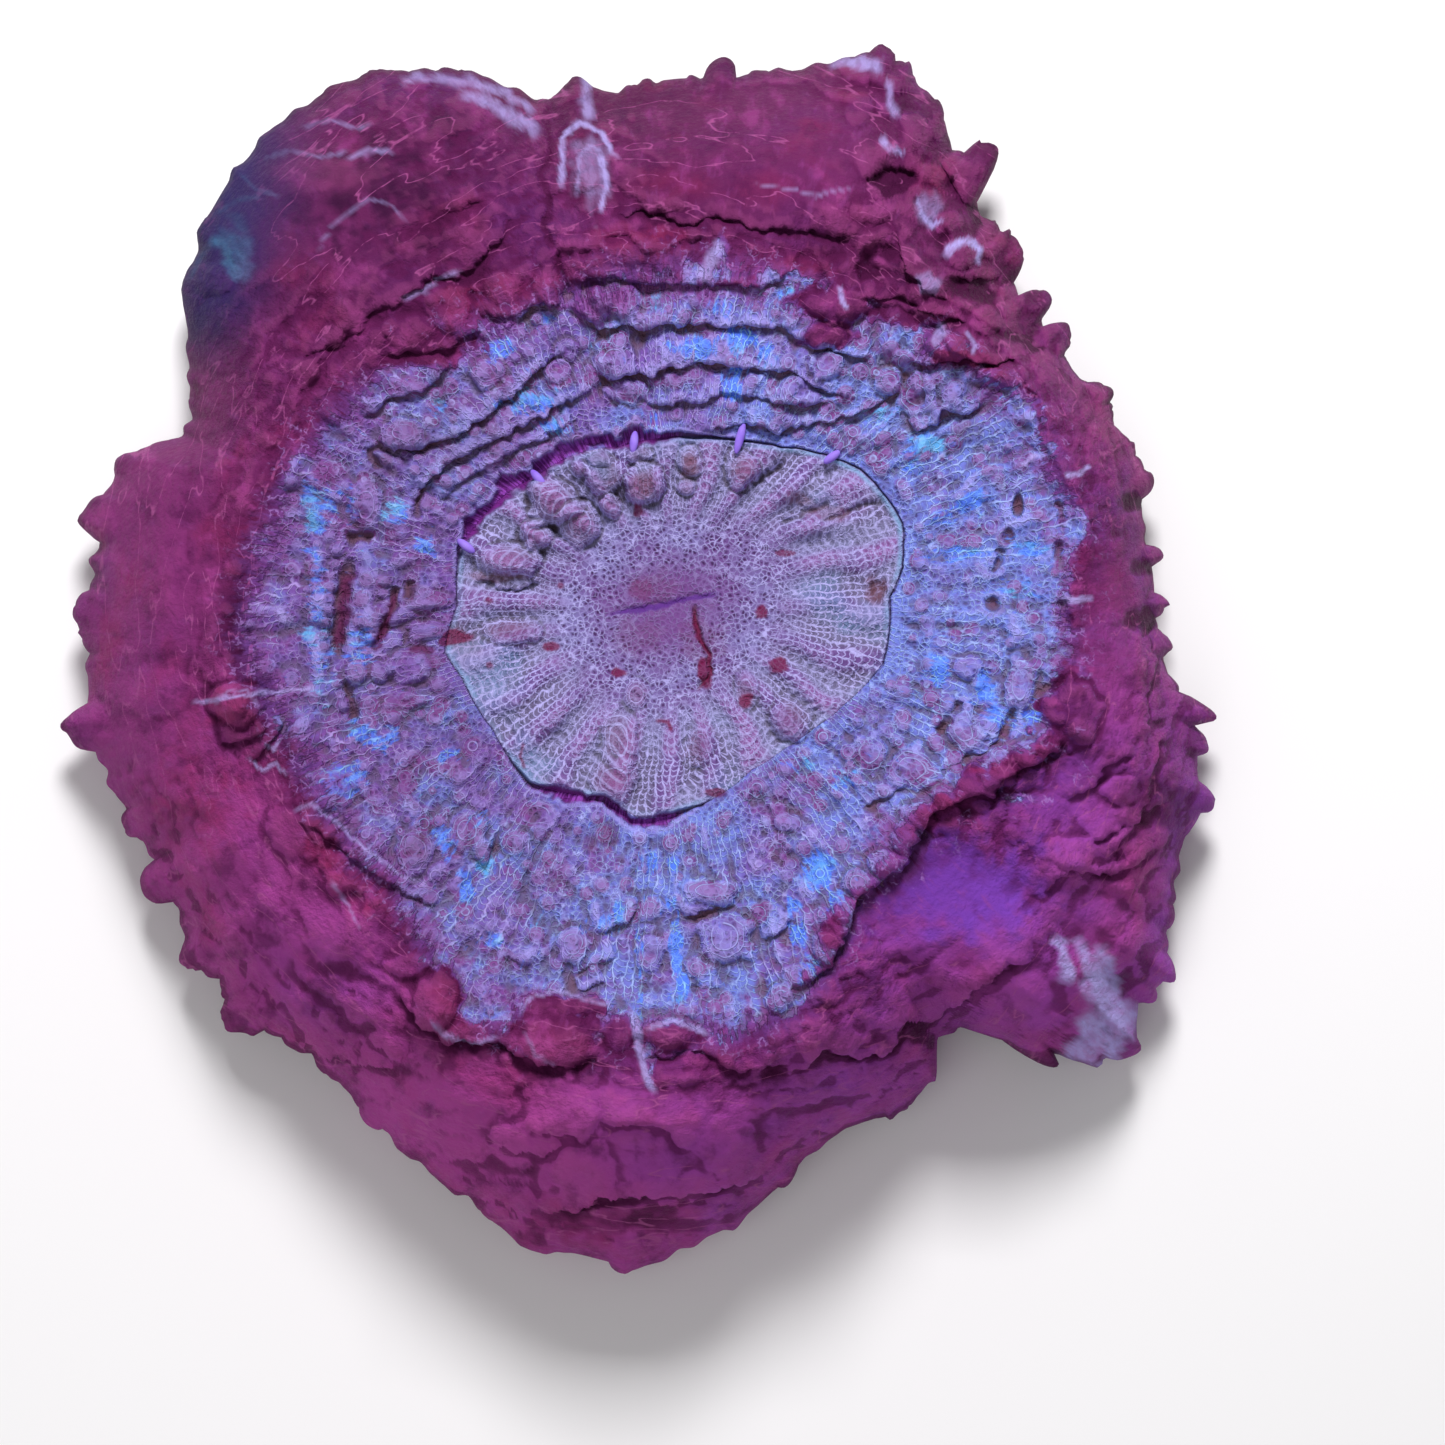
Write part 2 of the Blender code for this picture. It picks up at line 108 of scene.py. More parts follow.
# The skin's shape, shared by the disc, the ring and the mantle.
# They are one skin on the real polyp. It is read by angle round the mouth and by section: 0 is the mouth,
# 1 the disc's edge, 2 the ring's edge, 3 the mantle's edge, 4 the top of the stone, 5 the cut.
FOOT_RADIUS = 42.0
STONE_TOP_RADIUS = 46.0
STONE_TOP = 5.0
DISC_HEIGHT = 26.5
DISC_EDGE_HEIGHT = 29.5
CREST_HEIGHT = 34.0
RIM_HEIGHT_NEAR = 6.0
RIM_HEIGHT_FAR = 8.5
LIP_THICKNESS = 3.8
LIP_LEAN = 0.8
CREVICE_SHARE = 0.42
SHEET_DEPTH = 6.0
BUD_COUNT = 90
DISC_RIBS, RING_RIBS, RING_LINES = 24, 36, 116
ARCH_SPACING = 1.3
SCALE_SIZE, FINE_SCALE_SIZE = 6.5, 2.4
# From these half sizes on, in pixels, a lump has an even outline, and a broad round top
EVEN_LUMP, BROAD_LUMP = 40, 36

STEPS = 1200
DISC_ROWS = np.concatenate([np.linspace(0.0, 0.9, 116)[:-1], np.linspace(0.9, 1.0, 24)])
RING_ROWS = np.concatenate([np.linspace(1.0, 1.1, 14)[:-1], np.linspace(1.1, 2.0, 64)])
MANTLE_ROWS = np.concatenate([np.linspace(2.0, 2.94, 61), (2.955, 2.97, 2.985, 3.0)])
SECTIONS = np.concatenate([DISC_ROWS[:-1], RING_ROWS[:-1], MANTLE_ROWS])
DISC_SPAN = slice(0, len(DISC_ROWS))
RING_SPAN = slice(len(DISC_ROWS) - 1, len(DISC_ROWS) + len(RING_ROWS) - 1)
MANTLE_SPAN = slice(len(DISC_ROWS) + len(RING_ROWS) - 2, len(SECTIONS))

# Edge of the mantle, the ring and the disc: degrees round the mouth, radius in mm on the seen plane
MANTLE_EDGE = (
    (0, 61.2), (6, 60.5), (12, 60.8), (16, 62.0), (23, 60.2), (30, 59.0), (37.6, 58.2), (43.7, 58.8),
    (48, 61.6), (53, 64.2), (58, 67.5), (62, 71.0), (66, 73.2), (70, 72.8), (75, 69.8), (80, 67.4),
    (86, 66.0), (95.5, 64.6), (100, 66.3), (103.3, 64.4), (107, 67.6), (111, 71.4), (116, 74.4), (120, 76.6),
    (126, 77.4), (133, 77.0), (141, 74.6), (147, 72.4), (150, 69.6), (153.6, 66.9), (158, 64.2), (161, 63.8),
    (164.4, 70.0), (169, 71.8), (175, 71.8), (180, 72.4), (186, 72.8), (191, 74.0), (196, 73.4), (200, 72.6),
    (205, 71.4), (212, 72.0), (217, 73.6), (222, 72.5), (228, 72.6), (233, 71.6), (240, 74.2), (247, 76.8),
    (253, 79.0), (257, 81.8), (263, 82.3), (267, 83.2), (271, 81.0), (276, 78.4), (280, 74.6), (284, 71.4),
    (289, 69.2), (296, 69.2), (299.4, 68.2), (302, 63.6), (304.6, 64.2), (307, 68.0), (309.5, 71.6),
    (313, 78.2), (317, 80.6), (320, 77.2), (323.5, 78.4), (326.5, 74.6), (331, 72.6), (336, 70.8),
    (340.5, 71.4), (344, 68.6), (347.2, 67.0), (350, 64.8), (354, 62.6), (357, 61.4),
)
RING_EDGE = (
    (0, 50.6), (10, 51.9), (22, 50.6), (33, 49.4), (42, 46.4), (52, 45.6), (60, 42.4), (72, 42.2),
    (90, 41.4), (105, 40.2), (120, 40.6), (133, 43.2), (146, 46.6), (160, 49.4), (172, 52.5), (185, 54.0),
    (197, 50.6), (212, 49.6), (225, 48.6), (238, 53.2), (247, 55.6), (258, 53.6), (272, 53.8), (283, 53.6),
    (295, 47.8), (303, 43.4), (315, 41.8), (325, 43.2), (335, 48.2), (343, 51.0), (352, 51.2),
)
DISC_EDGE = (
    (2, 27.9), (9, 29.8), (19, 31.2), (26, 30.6), (35, 29.5), (46, 26.6), (54, 24.4), (66, 22.4), (80, 21.4),
    (95, 20.8), (106, 20.6), (120, 21.9), (135, 22.9), (150, 25.0), (165, 26.8), (180, 26.2), (192, 28.4),
    (200, 27.2), (216, 26.8), (232, 28.2), (245, 26.2), (252, 25.2), (262, 26.8), (271, 26.2), (279, 25.4),
    (287, 24.5), (297, 23.2), (309, 23.2), (320, 24.0), (331, 25.5), (345, 28.0), (356, 28.0),
)
# Papillae standing out of the mantle's edge: degrees, length and half width in mm
PAPILLAE = (
    (0.0, 1.3, 1.2), (5.8, 1.0, 1.0), (14.2, 1.4, 1.2), (26.2, 1.4, 1.2), (34.4, 2.5, 1.6), (39.4, 3.0, 1.5),
    (45.6, 3.2, 2.0), (54.6, 4.8, 1.7), (68.5, 1.8, 1.2), (84.3, 2.8, 1.6), (171.3, 1.9, 2.2),
    (180.8, 1.7, 2.2), (192.0, 3.0, 2.2), (202.2, 1.2, 1.4), (208.6, 3.4, 2.1), (216.4, 1.2, 1.6),
    (224.2, 3.6, 2.2), (240.0, 0.8, 1.4), (265.9, 0.9, 1.0), (282.0, 0.8, 1.0), (294.4, 0.9, 1.2),
    (309.6, 3.6, 1.2), (315.8, 1.4, 1.6), (324.0, 1.2, 1.2), (340.2, 1.4, 1.4), (345.6, 1.8, 1.2),
    (348.9, 3.2, 1.2),
)
# Share of the small buds' size between the papillae, by degrees
BUD_SIZE = (
    (0, 0.9), (60, 0.9), (90, 0.6), (130, 0.2), (165, 0.4), (190, 0.7), (228, 0.8), (240, 0.2), (298, 0.2),
    (308, 1.0),
)
# Depth of the slit round the disc and its half width, both in mm, by degrees
SLIT_DEPTH = (
    (0, 0.5), (40, 0.5), (60, 0.6), (82, 1.4), (160, 1.4), (176, 0.3), (222, 0.25), (234, 1.2), (272, 1.4),
    (284, 0.1), (335, 0.1), (348, 0.4),
)
SLIT_WIDTH = (
    (0, 0.13), (52, 0.14), (70, 0.2), (84, 0.4), (94, 0.75), (104, 0.95), (140, 1.0), (158, 0.7),
    (170, 0.13), (224, 0.13), (232, 0.35), (240, 0.7), (252, 0.5), (262, 0.8), (271, 0.6), (278, 0.16),
    (340, 0.12),
)
# Rolls and flaps of flesh by photo pixel, each raised on the left of the line of travel:
# points, rise of the roll, depth of the crevice beside it, reach of the roll behind its edge, in mm
FLAPS = (
    (((574, 312), (594, 324), (640, 326), (700, 323), (735, 325), (777, 327), (806, 345)), 1.3, 1.3, 3.4),
    (((590, 366), (608, 379), (684, 364), (721, 361), (777, 369), (802, 375), (850, 396)), 1.5, 1.5, 3.6),
    (((640, 402), (693, 403), (737, 392), (771, 398), (802, 405), (842, 402)), 1.1, 1.1, 3.0),
    (((700, 428), (740, 426), (790, 430), (820, 419), (855, 415), (875, 402), (900, 388)), 1.1, 1.4, 3.0),
    (((376, 448), (417, 447), (459, 430), (487, 414), (515, 390), (537, 370), (566, 350)), 1.6, 2.0, 4.0),
    (((362, 418), (400, 394), (430, 384), (452, 366)), 1.0, 1.3, 3.0),
    (((412, 506), (427, 481), (447, 462), (482, 446), (520, 425), (560, 404), (592, 388)), 1.2, 1.4, 3.0),
    (((436, 500), (462, 484), (490, 460), (530, 445), (575, 424)), 0.8, 0.9, 2.4),
    (((805, 346), (840, 352), (872, 356)), 1.1, 1.2, 3.0),
    (((610, 214), (636, 210), (664, 210), (681, 221), (721, 218), (763, 224), (805, 229), (862, 236)),
      1.6, 0.9, 8.0),
    (((560, 282), (600, 276), (650, 281), (700, 284), (760, 284), (800, 270)), 1.2, 1.0, 3.0),
    (((905, 362), (934, 360), (1007, 357), (1030, 350)), 1.6, 1.7, 4.0),
    (((905, 410), (918, 429), (938, 424), (946, 408), (962, 412), (984, 404)), 1.2, 1.5, 3.4),
    (((350, 330), (369, 312), (403, 300), (425, 279), (459, 276), (487, 251), (515, 217)), 1.2, 1.2, 5.0),
    (((300, 356), (346, 338), (366, 326)), 1.1, 1.2, 4.0),
    (((480, 312), (505, 316), (540, 306), (560, 300)), 1.4, 1.5, 3.6),
    (((380, 352), (420, 352), (450, 345), (486, 330)), 1.1, 1.2, 3.4),
    (((540, 1212), (577, 1208), (596, 1195), (633, 1194), (681, 1197), (711, 1187), (766, 1177)),
      2.0, 2.4, 7.0), (((525, 1131), (557, 1129), (586, 1146)), 1.0, 1.3, 4.0),
    (((600, 1125), (653, 1124), (690, 1150)), 1.0, 1.3, 4.0),
    (((797, 990), (830, 966), (842, 937), (861, 894), (905, 863), (928, 816), (960, 800), (990, 792),
      (1010, 772), (1045, 760), (1066, 742)), 1.8, 1.8, 3.6),
    (((780, 1068), (805, 1063), (822, 1048), (862, 1060), (889, 1049), (905, 1022), (931, 1018), (974, 990),
      (1013, 962), (1038, 955)), 1.6, 2.4, 5.0),
    (((1106, 864), (1118, 842), (1146, 800), (1150, 766), (1168, 730)), 1.2, 1.3, 3.0),
    (((1128, 900), (1140, 862), (1172, 832)), 1.0, 1.4, 2.4),
    (((1150, 740), (1146, 700), (1152, 660), (1148, 610)), 1.0, 1.4, 2.4),
    (((890, 962), (916, 950), (940, 948), (966, 930)), 0.3, 0.35, 3.0),
    (((1040, 900), (1060, 870), (1064, 842)), 0.6, 0.9, 2.4),
    (((400, 990), (420, 1022), (450, 1042), (500, 1040), (540, 1062), (575, 1066), (602, 1054)),
      1.5, 1.8, 4.0), (((640, 1062), (700, 1050), (740, 1072), (790, 1060)), 1.2, 1.5, 3.4),
    (((220, 745), (242, 742), (266, 728)), 1.2, 1.2, 3.0),
    (((300, 1040), (345, 1062), (400, 1070)), 1.0, 1.3, 5.0),
    (((296, 818), (330, 836), (366, 866), (404, 890), (440, 906)), 1.0, 1.2, 2.6),
    (((250, 760), (268, 744), (282, 716)), 0.9, 1.1, 2.4),
    (((684, 920), (708, 910), (736, 904)), 0.9, 1.2, 2.4),
    (((596, 934), (620, 925), (634, 912), (642, 898)), 0.9, 1.1, 2.4),
    (((574, 972), (600, 962), (616, 956)), 0.8, 1.0, 2.0), (((578, 992), (606, 980)), 0.8, 1.0, 2.0),
    (((684, 986), (700, 988), (722, 980)), 0.8, 1.0, 2.0),
    (((498, 962), (516, 958), (530, 966)), 0.7, 0.8, 2.0),
    (((762, 940), (778, 934), (794, 916)), 0.9, 1.2, 2.2),
    (((470, 860), (486, 862), (496, 842)), 0.8, 1.0, 2.4),
    (((932, 768), (960, 762), (990, 744), (1004, 728)), 0.8, 1.0, 2.2),
    (((860, 806), (880, 798), (905, 786)), 0.7, 0.9, 2.2),
    (((474, 580), (500, 584), (516, 592), (540, 582)), 0.9, 1.1, 2.6),
    (((862, 180), (880, 172), (900, 168), (918, 176)), 1.2, 2.2, 3.0),
    (((936, 156), (958, 186), (975, 206), (984, 232)), 1.3, 2.4, 2.6),
    (((893, 232), (905, 262), (925, 290), (950, 300)), 1.3, 2.4, 2.6),
    (((996, 318), (1018, 330), (1046, 350)), 1.3, 2.2, 2.6),
    (((862, 300), (900, 296), (935, 312), (968, 322)), 1.3, 2.2, 3.0),
    (((950, 272), (972, 282), (1000, 276)), 1.1, 2.0, 2.4),
    (((1046, 884), (1072, 870), (1100, 874), (1146, 858)), 1.1, 1.6, 3.0),
    (((1090, 842), (1120, 822), (1150, 812), (1168, 800)), 1.0, 1.5, 2.6),
    (((1066, 800), (1092, 786), (1110, 762), (1136, 750)), 0.8, 1.3, 2.6),
    (((486, 1136), (510, 1152), (540, 1156), (566, 1144)), 0.9, 1.3, 3.0),
)
# Open clefts by photo pixel: points, depth and half width in mm
CLEFTS = (
    (((553, 92), (546, 118), (552, 146), (541, 178), (549, 200), (546, 226), (566, 286)), 0.9, 0.45),
    (((352, 558), (349, 574), (343, 599), (338, 633), (341, 660)), 1.5, 0.8),
    (((344, 680), (350, 700), (354, 722)), 1.2, 0.6),
    (((396, 586), (390, 612), (380, 634), (376, 652)), 1.6, 0.45), (((412, 580), (408, 600)), 0.9, 0.5),
    (((408, 628), (405, 645)), 0.9, 0.4),
    (((692, 604), (698, 636), (709, 655), (709, 674), (697, 692)), 0.8, 0.35),
    (((613, 614), (660, 606), (716, 595)), 0.35, 0.5), (((1002, 548), (1000, 560), (994, 574)), 1.0, 0.5),
    (((1060, 540), (1060, 556), (1062, 572)), 1.3, 0.6), (((1060, 600), (1064, 616), (1070, 626)), 1.1, 0.7),
    (((1058, 500), (1061, 512), (1062, 522)), 0.9, 0.5), (((960, 700), (952, 716), (940, 736)), 1.2, 0.5),
    (((1016, 706), (1010, 722), (1000, 738)), 1.2, 0.6), (((398, 240), (447, 221), (490, 203)), 1.2, 0.9),
    (((738, 496), (757, 480), (786, 462)), 0.8, 0.35), (((778, 524), (806, 514), (834, 500)), 0.7, 0.4),
    (((822, 522), (850, 511), (886, 502)), 0.7, 0.45), (((418, 520), (416, 500), (424, 486)), 1.0, 0.4),
    (((346, 540), (362, 536), (372, 540)), 1.2, 0.7), (((378, 470), (374, 452), (384, 446)), 1.0, 0.6),
)
# Round swellings and hollows by photo pixel: x, y, half width and half height in pixels, rise in mm
LUMPS = (
    (553, 502, 24, 23, 1.7), (579, 524, 22, 21, 1.5), (604, 476, 21, 21, 1.5), (645, 486, 20, 20, 1.7),
    (609, 505, 11, 11, 0.9), (640, 455, 12, 9, 0.9), (600, 458, 14, 9, 0.9), (580, 470, 10, 9, 0.8),
    (689, 460, 11, 15, 1.1), (686, 488, 10, 9, 1.0), (743, 470, 17, 18, 1.2), (508, 559, 34, 17, 1.4),
    (537, 537, 17, 14, 1.1), (811, 489, 44, 17, 1.0), (830, 528, 50, 14, 0.8), (840, 630, 42, 26, 0.8),
    (789, 719, 20, 20, 1.1), (745, 690, 11, 18, 0.7), (545, 705, 36, 28, 1.1), (512, 630, 30, 12, 0.8),
    (618, 740, 17, 30, 0.9), (612, 780, 24, 22, 0.7), (700, 745, 14, 24, 0.7), (636, 695, 12, 14, 0.6),
    (593, 304, 20, 17, 1.1), (616, 358, 22, 18, 1.1), (616, 298, 24, 18, 0.9), (827, 361, 17, 14, 1.1),
    (889, 381, 15, 14, 1.2), (916, 395, 20, 18, 0.9), (403, 431, 20, 15, 1.0), (487, 372, 18, 14, 0.9),
    (556, 369, 13, 11, 0.9), (566, 350, 12, 12, 0.8), (624, 390, 20, 12, 0.7), (800, 388, 20, 14, 0.8),
    (905, 362, 13, 12, 0.8), (410, 667, 22, 18, 1.0), (357, 672, 12, 12, 0.8), (380, 672, 11, 11, 0.8),
    (366, 505, 16, 22, 0.9), (415, 849, 20, 22, 1.2), (466, 830, 18, 20, 1.0), (514, 842, 16, 14, 0.7),
    (725, 938, 26, 24, 1.4), (650, 955, 15, 18, 0.9), (650, 908, 14, 14, 0.8), (573, 944, 16, 20, 1.2),
    (708, 890, 27, 12, 0.8), (697, 968, 13, 10, 0.7), (535, 815, 24, 14, 0.6), (1020, 685, 16, 25, 1.2),
    (962, 728, 18, 20, 1.0), (985, 722, 13, 12, 0.8), (910, 768, 24, 22, 1.1), (870, 752, 20, 20, 0.8),
    (970, 668, 14, 12, 0.7), (785, 822, 12, 11, 0.7), (1068, 712, 30, 30, 2.0), (1012, 768, 30, 22, 1.4),
    (975, 790, 20, 22, 1.3), (940, 812, 22, 20, 1.2), (560, 1040, 36, 28, 2.2), (566, 1006, 44, 10, 1.2),
    (668, 1032, 32, 15, 1.3), (438, 1000, 21, 30, 1.7), (620, 1030, 16, 22, 0.8), (410, 965, 22, 12, 1.0),
    (234, 703, 24, 20, 2.2), (447, 305, 24, 22, 1.4), (500, 286, 20, 14, 1.0), (548, 284, 14, 18, 1.4),
    (410, 330, 26, 16, 1.0), (214, 277, 16, 16, 1.2), (962, 252, 18, 16, 1.8), (928, 291, 18, 14, 1.2),
    (840, 305, 34, 16, 1.4), (820, 335, 26, 12, 0.9), (640, 250, 50, 14, 1.0), (1000, 350, 30, 14, 1.0),
    (560, 1172, 44, 22, 1.2), (695, 1183, 16, 14, 0.5), (598, 176, 24, 42, 1.2), (330, 790, 30, 22, 1.0),
    (300, 830, 34, 24, 1.0), (345, 930, 40, 30, 1.2), (470, 1100, 44, 26, 1.0), (800, 1040, 40, 20, 1.0),
    (1060, 870, 40, 16, 1.0), (1085, 980, 26, 40, 1.4), (1100, 440, 24, 40, 1.0), (255, 400, 40, 36, 1.0),
    (160, 560, 24, 60, 0.8), (150, 690, 40, 22, 0.8), (210, 860, 40, 30, 1.0), (330, 170, 60, 26, 1.0),
    (330, 215, 120, 100, 2.4), (760, 150, 130, 56, 2.2), (1000, 1010, 60, 40, 1.6),
    (600, 1120, 120, 50, 1.8), (895, 173, 24, 20, -2.6), (881, 271, 22, 28, -1.8), (968, 288, 28, 14, -1.6),
    (1024, 340, 28, 16, -1.8), (976, 880, 84, 50, -1.4), (1132, 502, 12, 11, -1.3),
    (1141, 566, 11, 10, -1.2), (1143, 622, 15, 14, -1.6), (1018, 507, 6, 12, -1.3), (1008, 536, 5, 7, -1.0),
    (878, 592, 9, 11, -0.7), (640, 1222, 90, 16, -0.6), (993, 604, 8, 8, -0.8), (318, 628, 11, 70, 1.0),
    (370, 612, 9, 46, 0.8), (300, 740, 12, 40, 0.7), (402, 700, 30, 9, 0.6), (430, 600, 24, 10, 0.5),
    (426, 630, 24, 9, 0.5), (824, 944, 12, 15, 1.1), (841, 908, 11, 14, 1.1), (858, 882, 14, 12, 1.2),
    (883, 862, 15, 13, 1.2), (902, 838, 14, 14, 1.2), (917, 816, 16, 12, 1.2), (946, 797, 15, 11, 1.1),
    (1004, 776, 13, 12, 1.1), (1030, 752, 16, 12, 1.2), (1050, 740, 12, 12, 1.0), (800, 975, 14, 12, 1.0),
    (780, 1000, 14, 14, 1.0), (905, 215, 14, 20, 1.2), (935, 172, 20, 12, 1.3), (950, 222, 14, 12, 1.3),
    (992, 240, 14, 18, 1.4), (930, 312, 18, 12, 1.2), (988, 320, 16, 12, 1.3), (1012, 300, 14, 16, 1.4),
    (872, 212, 18, 10, 1.1), (1002, 376, 24, 12, 1.1), (946, 344, 22, 10, 1.1), (915, 130, 16, 20, 1.1),
    (942, 122, 12, 16, 1.1), (520, 1146, 28, 24, 0.6), (586, 1172, 30, 26, 0.6), (640, 1128, 26, 20, 0.4),
    (722, 1142, 30, 24, 0.5), (860, 108, 14, 18, 0.8), (1070, 850, 24, 14, 1.0), (1130, 840, 20, 16, 1.0),
    (1120, 790, 18, 14, 0.9),
)
# Rows of small beads beside the pits, by photo pixel: points along the row. Then the beads' spacing, and
# each bead's half width and half height, all in pixels, and its rise in mm
BEAD_ROWS = (
    ((338, 552), (331, 580), (327, 610), (324, 640), (326, 668)),
    ((386, 582), (380, 608), (370, 632), (366, 656)), ((336, 684), (344, 706), (350, 728)),
    ((430, 300), (452, 292), (480, 286)),
)
BEAD_STEP = 12
BEAD_SHAPE = (6, 5, 0.45)
# Smooth parts of the mantle by photo pixel: x, y, half width and half height in pixels, strength
SMOOTH_SPOTS = (
    (760, 150, 150, 76, 0.95), (300, 190, 130, 100, 0.85), (150, 560, 90, 170, 0.95),
    (940, 900, 110, 66, 1.0), (1105, 640, 34, 120, 0.9), (1080, 800, 56, 60, 0.85), (190, 400, 60, 80, 0.8),
    (150, 720, 80, 80, 0.85), (700, 1120, 110, 46, 0.7), (250, 840, 70, 80, 0.7), (430, 1110, 100, 60, 0.75),
    (1030, 990, 50, 40, 0.9), (620, 1140, 170, 70, 0.85), (640, 1225, 100, 20, 0.7), (380, 960, 50, 40, 0.5),
    (980, 950, 60, 30, 0.9), (1092, 920, 40, 40, 0.9), (300, 930, 60, 60, 0.7),
)


def around(knots, degrees):
    """A value given at some angles, read at any angle round the polyp."""
    angles, values = zip(*knots)
    return np.interp(degrees, angles, values, period=360)


def ramp(value, start, end):
    """0 before start, 1 after end, and a smooth rise between them."""
    share = np.clip((value - start) / (end - start), 0, 1)
    return share * share * (3 - 2 * share)


def seen(pixel_x, pixel_y):
    """A photo pixel as mm right of and above the mouth on the seen plane."""
    return (pixel_x - MOUTH_PIXEL[0]) * PIXEL, (MOUTH_PIXEL[1] - pixel_y) * PIXEL


def lay(x, y, height):
    """Points on the seen plane, followed along the camera's line of sight to the given heights, in mm."""
    across, up = x + MOUTH_ON_PLANE[0], y + MOUTH_ON_PLANE[1]
    plane = VIEW_TARGET + np.stack([across, up * SINE, up * COSINE], axis=-1)
    share = (height - EYE[2]) / (plane[..., 2] - EYE[2])
    return EYE + share[..., None] * (plane - EYE)


def lattice_noise(x, y, cell, seed):
    """Smooth noise from -1 to 1 whose lumps are about one cell wide."""
    column, row = np.floor(x / cell).astype(int), np.floor(y / cell).astype(int)
    part_x, part_y = x / cell - column, y / cell - row
    part_x, part_y = part_x**2 * (3 - 2 * part_x), part_y**2 * (3 - 2 * part_y)
    grid = np.random.default_rng(seed).uniform(-1, 1, (211, 211))

    def corner(right, above):
        return grid[(column + right) % 211, (row + above) % 211]

    low = corner(0, 0) * (1 - part_x) + corner(1, 0) * part_x
    high = corner(0, 1) * (1 - part_x) + corner(1, 1) * part_x
    return low * (1 - part_y) + high * part_y


def smooth_height(degrees, section):
    """Height of the skin without its folds, in mm."""
    inner = np.interp(section, (0.0, 0.45, 0.8, 1.0, 1.6, 2.0),
                      (DISC_HEIGHT, DISC_HEIGHT + 0.6, DISC_EDGE_HEIGHT - 0.8, DISC_EDGE_HEIGHT,
                       CREST_HEIGHT - 2.4, CREST_HEIGHT))
    far = 0.5 + 0.5 * np.sin(np.radians(degrees))
    rim = RIM_HEIGHT_NEAR + (RIM_HEIGHT_FAR - RIM_HEIGHT_NEAR) * far
    over = np.clip(section - 2, 0, 1)
    return inner - (1 - (1 - over**2.2) ** 0.75) * (CREST_HEIGHT - rim)


def seen_places(degrees, section):
    """Places on the seen plane, in mm about the mouth, of the skin's angles and sections."""
    spokes = degrees[:1]
    reaches = (0.0 * spokes, *(around(edge, spokes) for edge in (DISC_EDGE, RING_EDGE, MANTLE_EDGE)))
    radius = np.zeros(degrees.shape)
    for inner in range(3):
        share = np.clip(section - inner, 0, 1)
        radius += share * (reaches[inner + 1] - reaches[inner])
    reach = np.zeros(spokes.shape)
    small = np.random.default_rng(8)
    buds = [(angle, small.uniform(0.2, 1.0) * around(BUD_SIZE, angle), small.uniform(0.6, 1.3))
            for angle in small.uniform(0, 360, BUD_COUNT)]
    for angle, length, half_width in (*PAPILLAE, *buds):
        away = np.abs((spokes - angle + 180) % 360 - 180) * math.radians(1) * reaches[3]
        reach += length * np.sqrt(np.clip(1 - (away / (1.3 * half_width)) ** 2, 0, 1))
    reach += 0.5 * lattice_noise(np.radians(spokes) * 70, 0 * spokes, 1.6, 9)
    radius += reach * np.clip((section - 2.86) / 0.14, 0, 1) ** 1.5
    angle = np.radians(degrees)
    return radius * np.cos(angle), radius * np.sin(angle)


# The grid of the skin: every place's angle, section, distance right of and above the mouth, and radius
DEGREES, SECTION = np.meshgrid(np.arange(STEPS) * 360 / STEPS, SECTIONS)
PLANE_X, PLANE_Y = seen_places(DEGREES, SECTION)
RADIUS = np.hypot(PLANE_X, PLANE_Y)


def waves(cell, seed, where=...):
    """Smooth noise from -1 to 1 over the grid of the skin, or over a part of it."""
    return lattice_noise(PLANE_X[where], PLANE_Y[where], cell, seed)


def in_box(places, reach):
    """Which places of the grid lie in the box round some others, widened by a reach in mm."""
    low, high = np.min(places, axis=0) - reach, np.max(places, axis=0) + reach
    return (PLANE_X > low[0]) & (PLANE_X < high[0]) & (PLANE_Y > low[1]) & (PLANE_Y < high[1])


def beside(points, reach):
    """Places near a path, their distance to its left in mm, and a share that fades out at its ends."""
    corners = np.array([seen(*point) for point in points])
    close = in_box(corners, reach)
    x, y = PLANE_X[close], PLANE_Y[close]
    steps = np.diff(corners, axis=0)
    lengths = np.hypot(*steps.T)
    starts = np.concatenate([[0], np.cumsum(lengths)])
    nearest = np.full(x.shape, np.inf)
    left, passed = np.zeros(x.shape), np.zeros(x.shape)
    for corner, step, length, start in zip(corners, steps, lengths, starts):
        away_x, away_y = x - corner[0], y - corner[1]
        share = np.clip((away_x * step[0] + away_y * step[1]) / length**2, 0, 1)
        distance = np.hypot(away_x - share * step[0], away_y - share * step[1])
        side = np.where(step[0] * away_y - step[1] * away_x >= 0, 1.0, -1.0)
        closer = distance < nearest
        nearest = np.where(closer, distance, nearest)
        left = np.where(closer, side * distance, left)
        passed = np.where(closer, (start + share * length) / starts[-1], passed)
    return close, left, np.clip(np.minimum(passed, 1 - passed) / 0.12, 0, 1) ** 0.7


def over_spot(pixel_x, pixel_y, half_across, half_up, widened):
    """Places near an oval spot, and how far across and up they lie from its middle, in its half sizes."""
    middle = seen(pixel_x, pixel_y)
    close = in_box([middle], widened * PIXEL * max(half_across, half_up))
    return (close, (PLANE_X[close] - middle[0]) / (half_across * PIXEL),
            (PLANE_Y[close] - middle[1]) / (half_up * PIXEL))


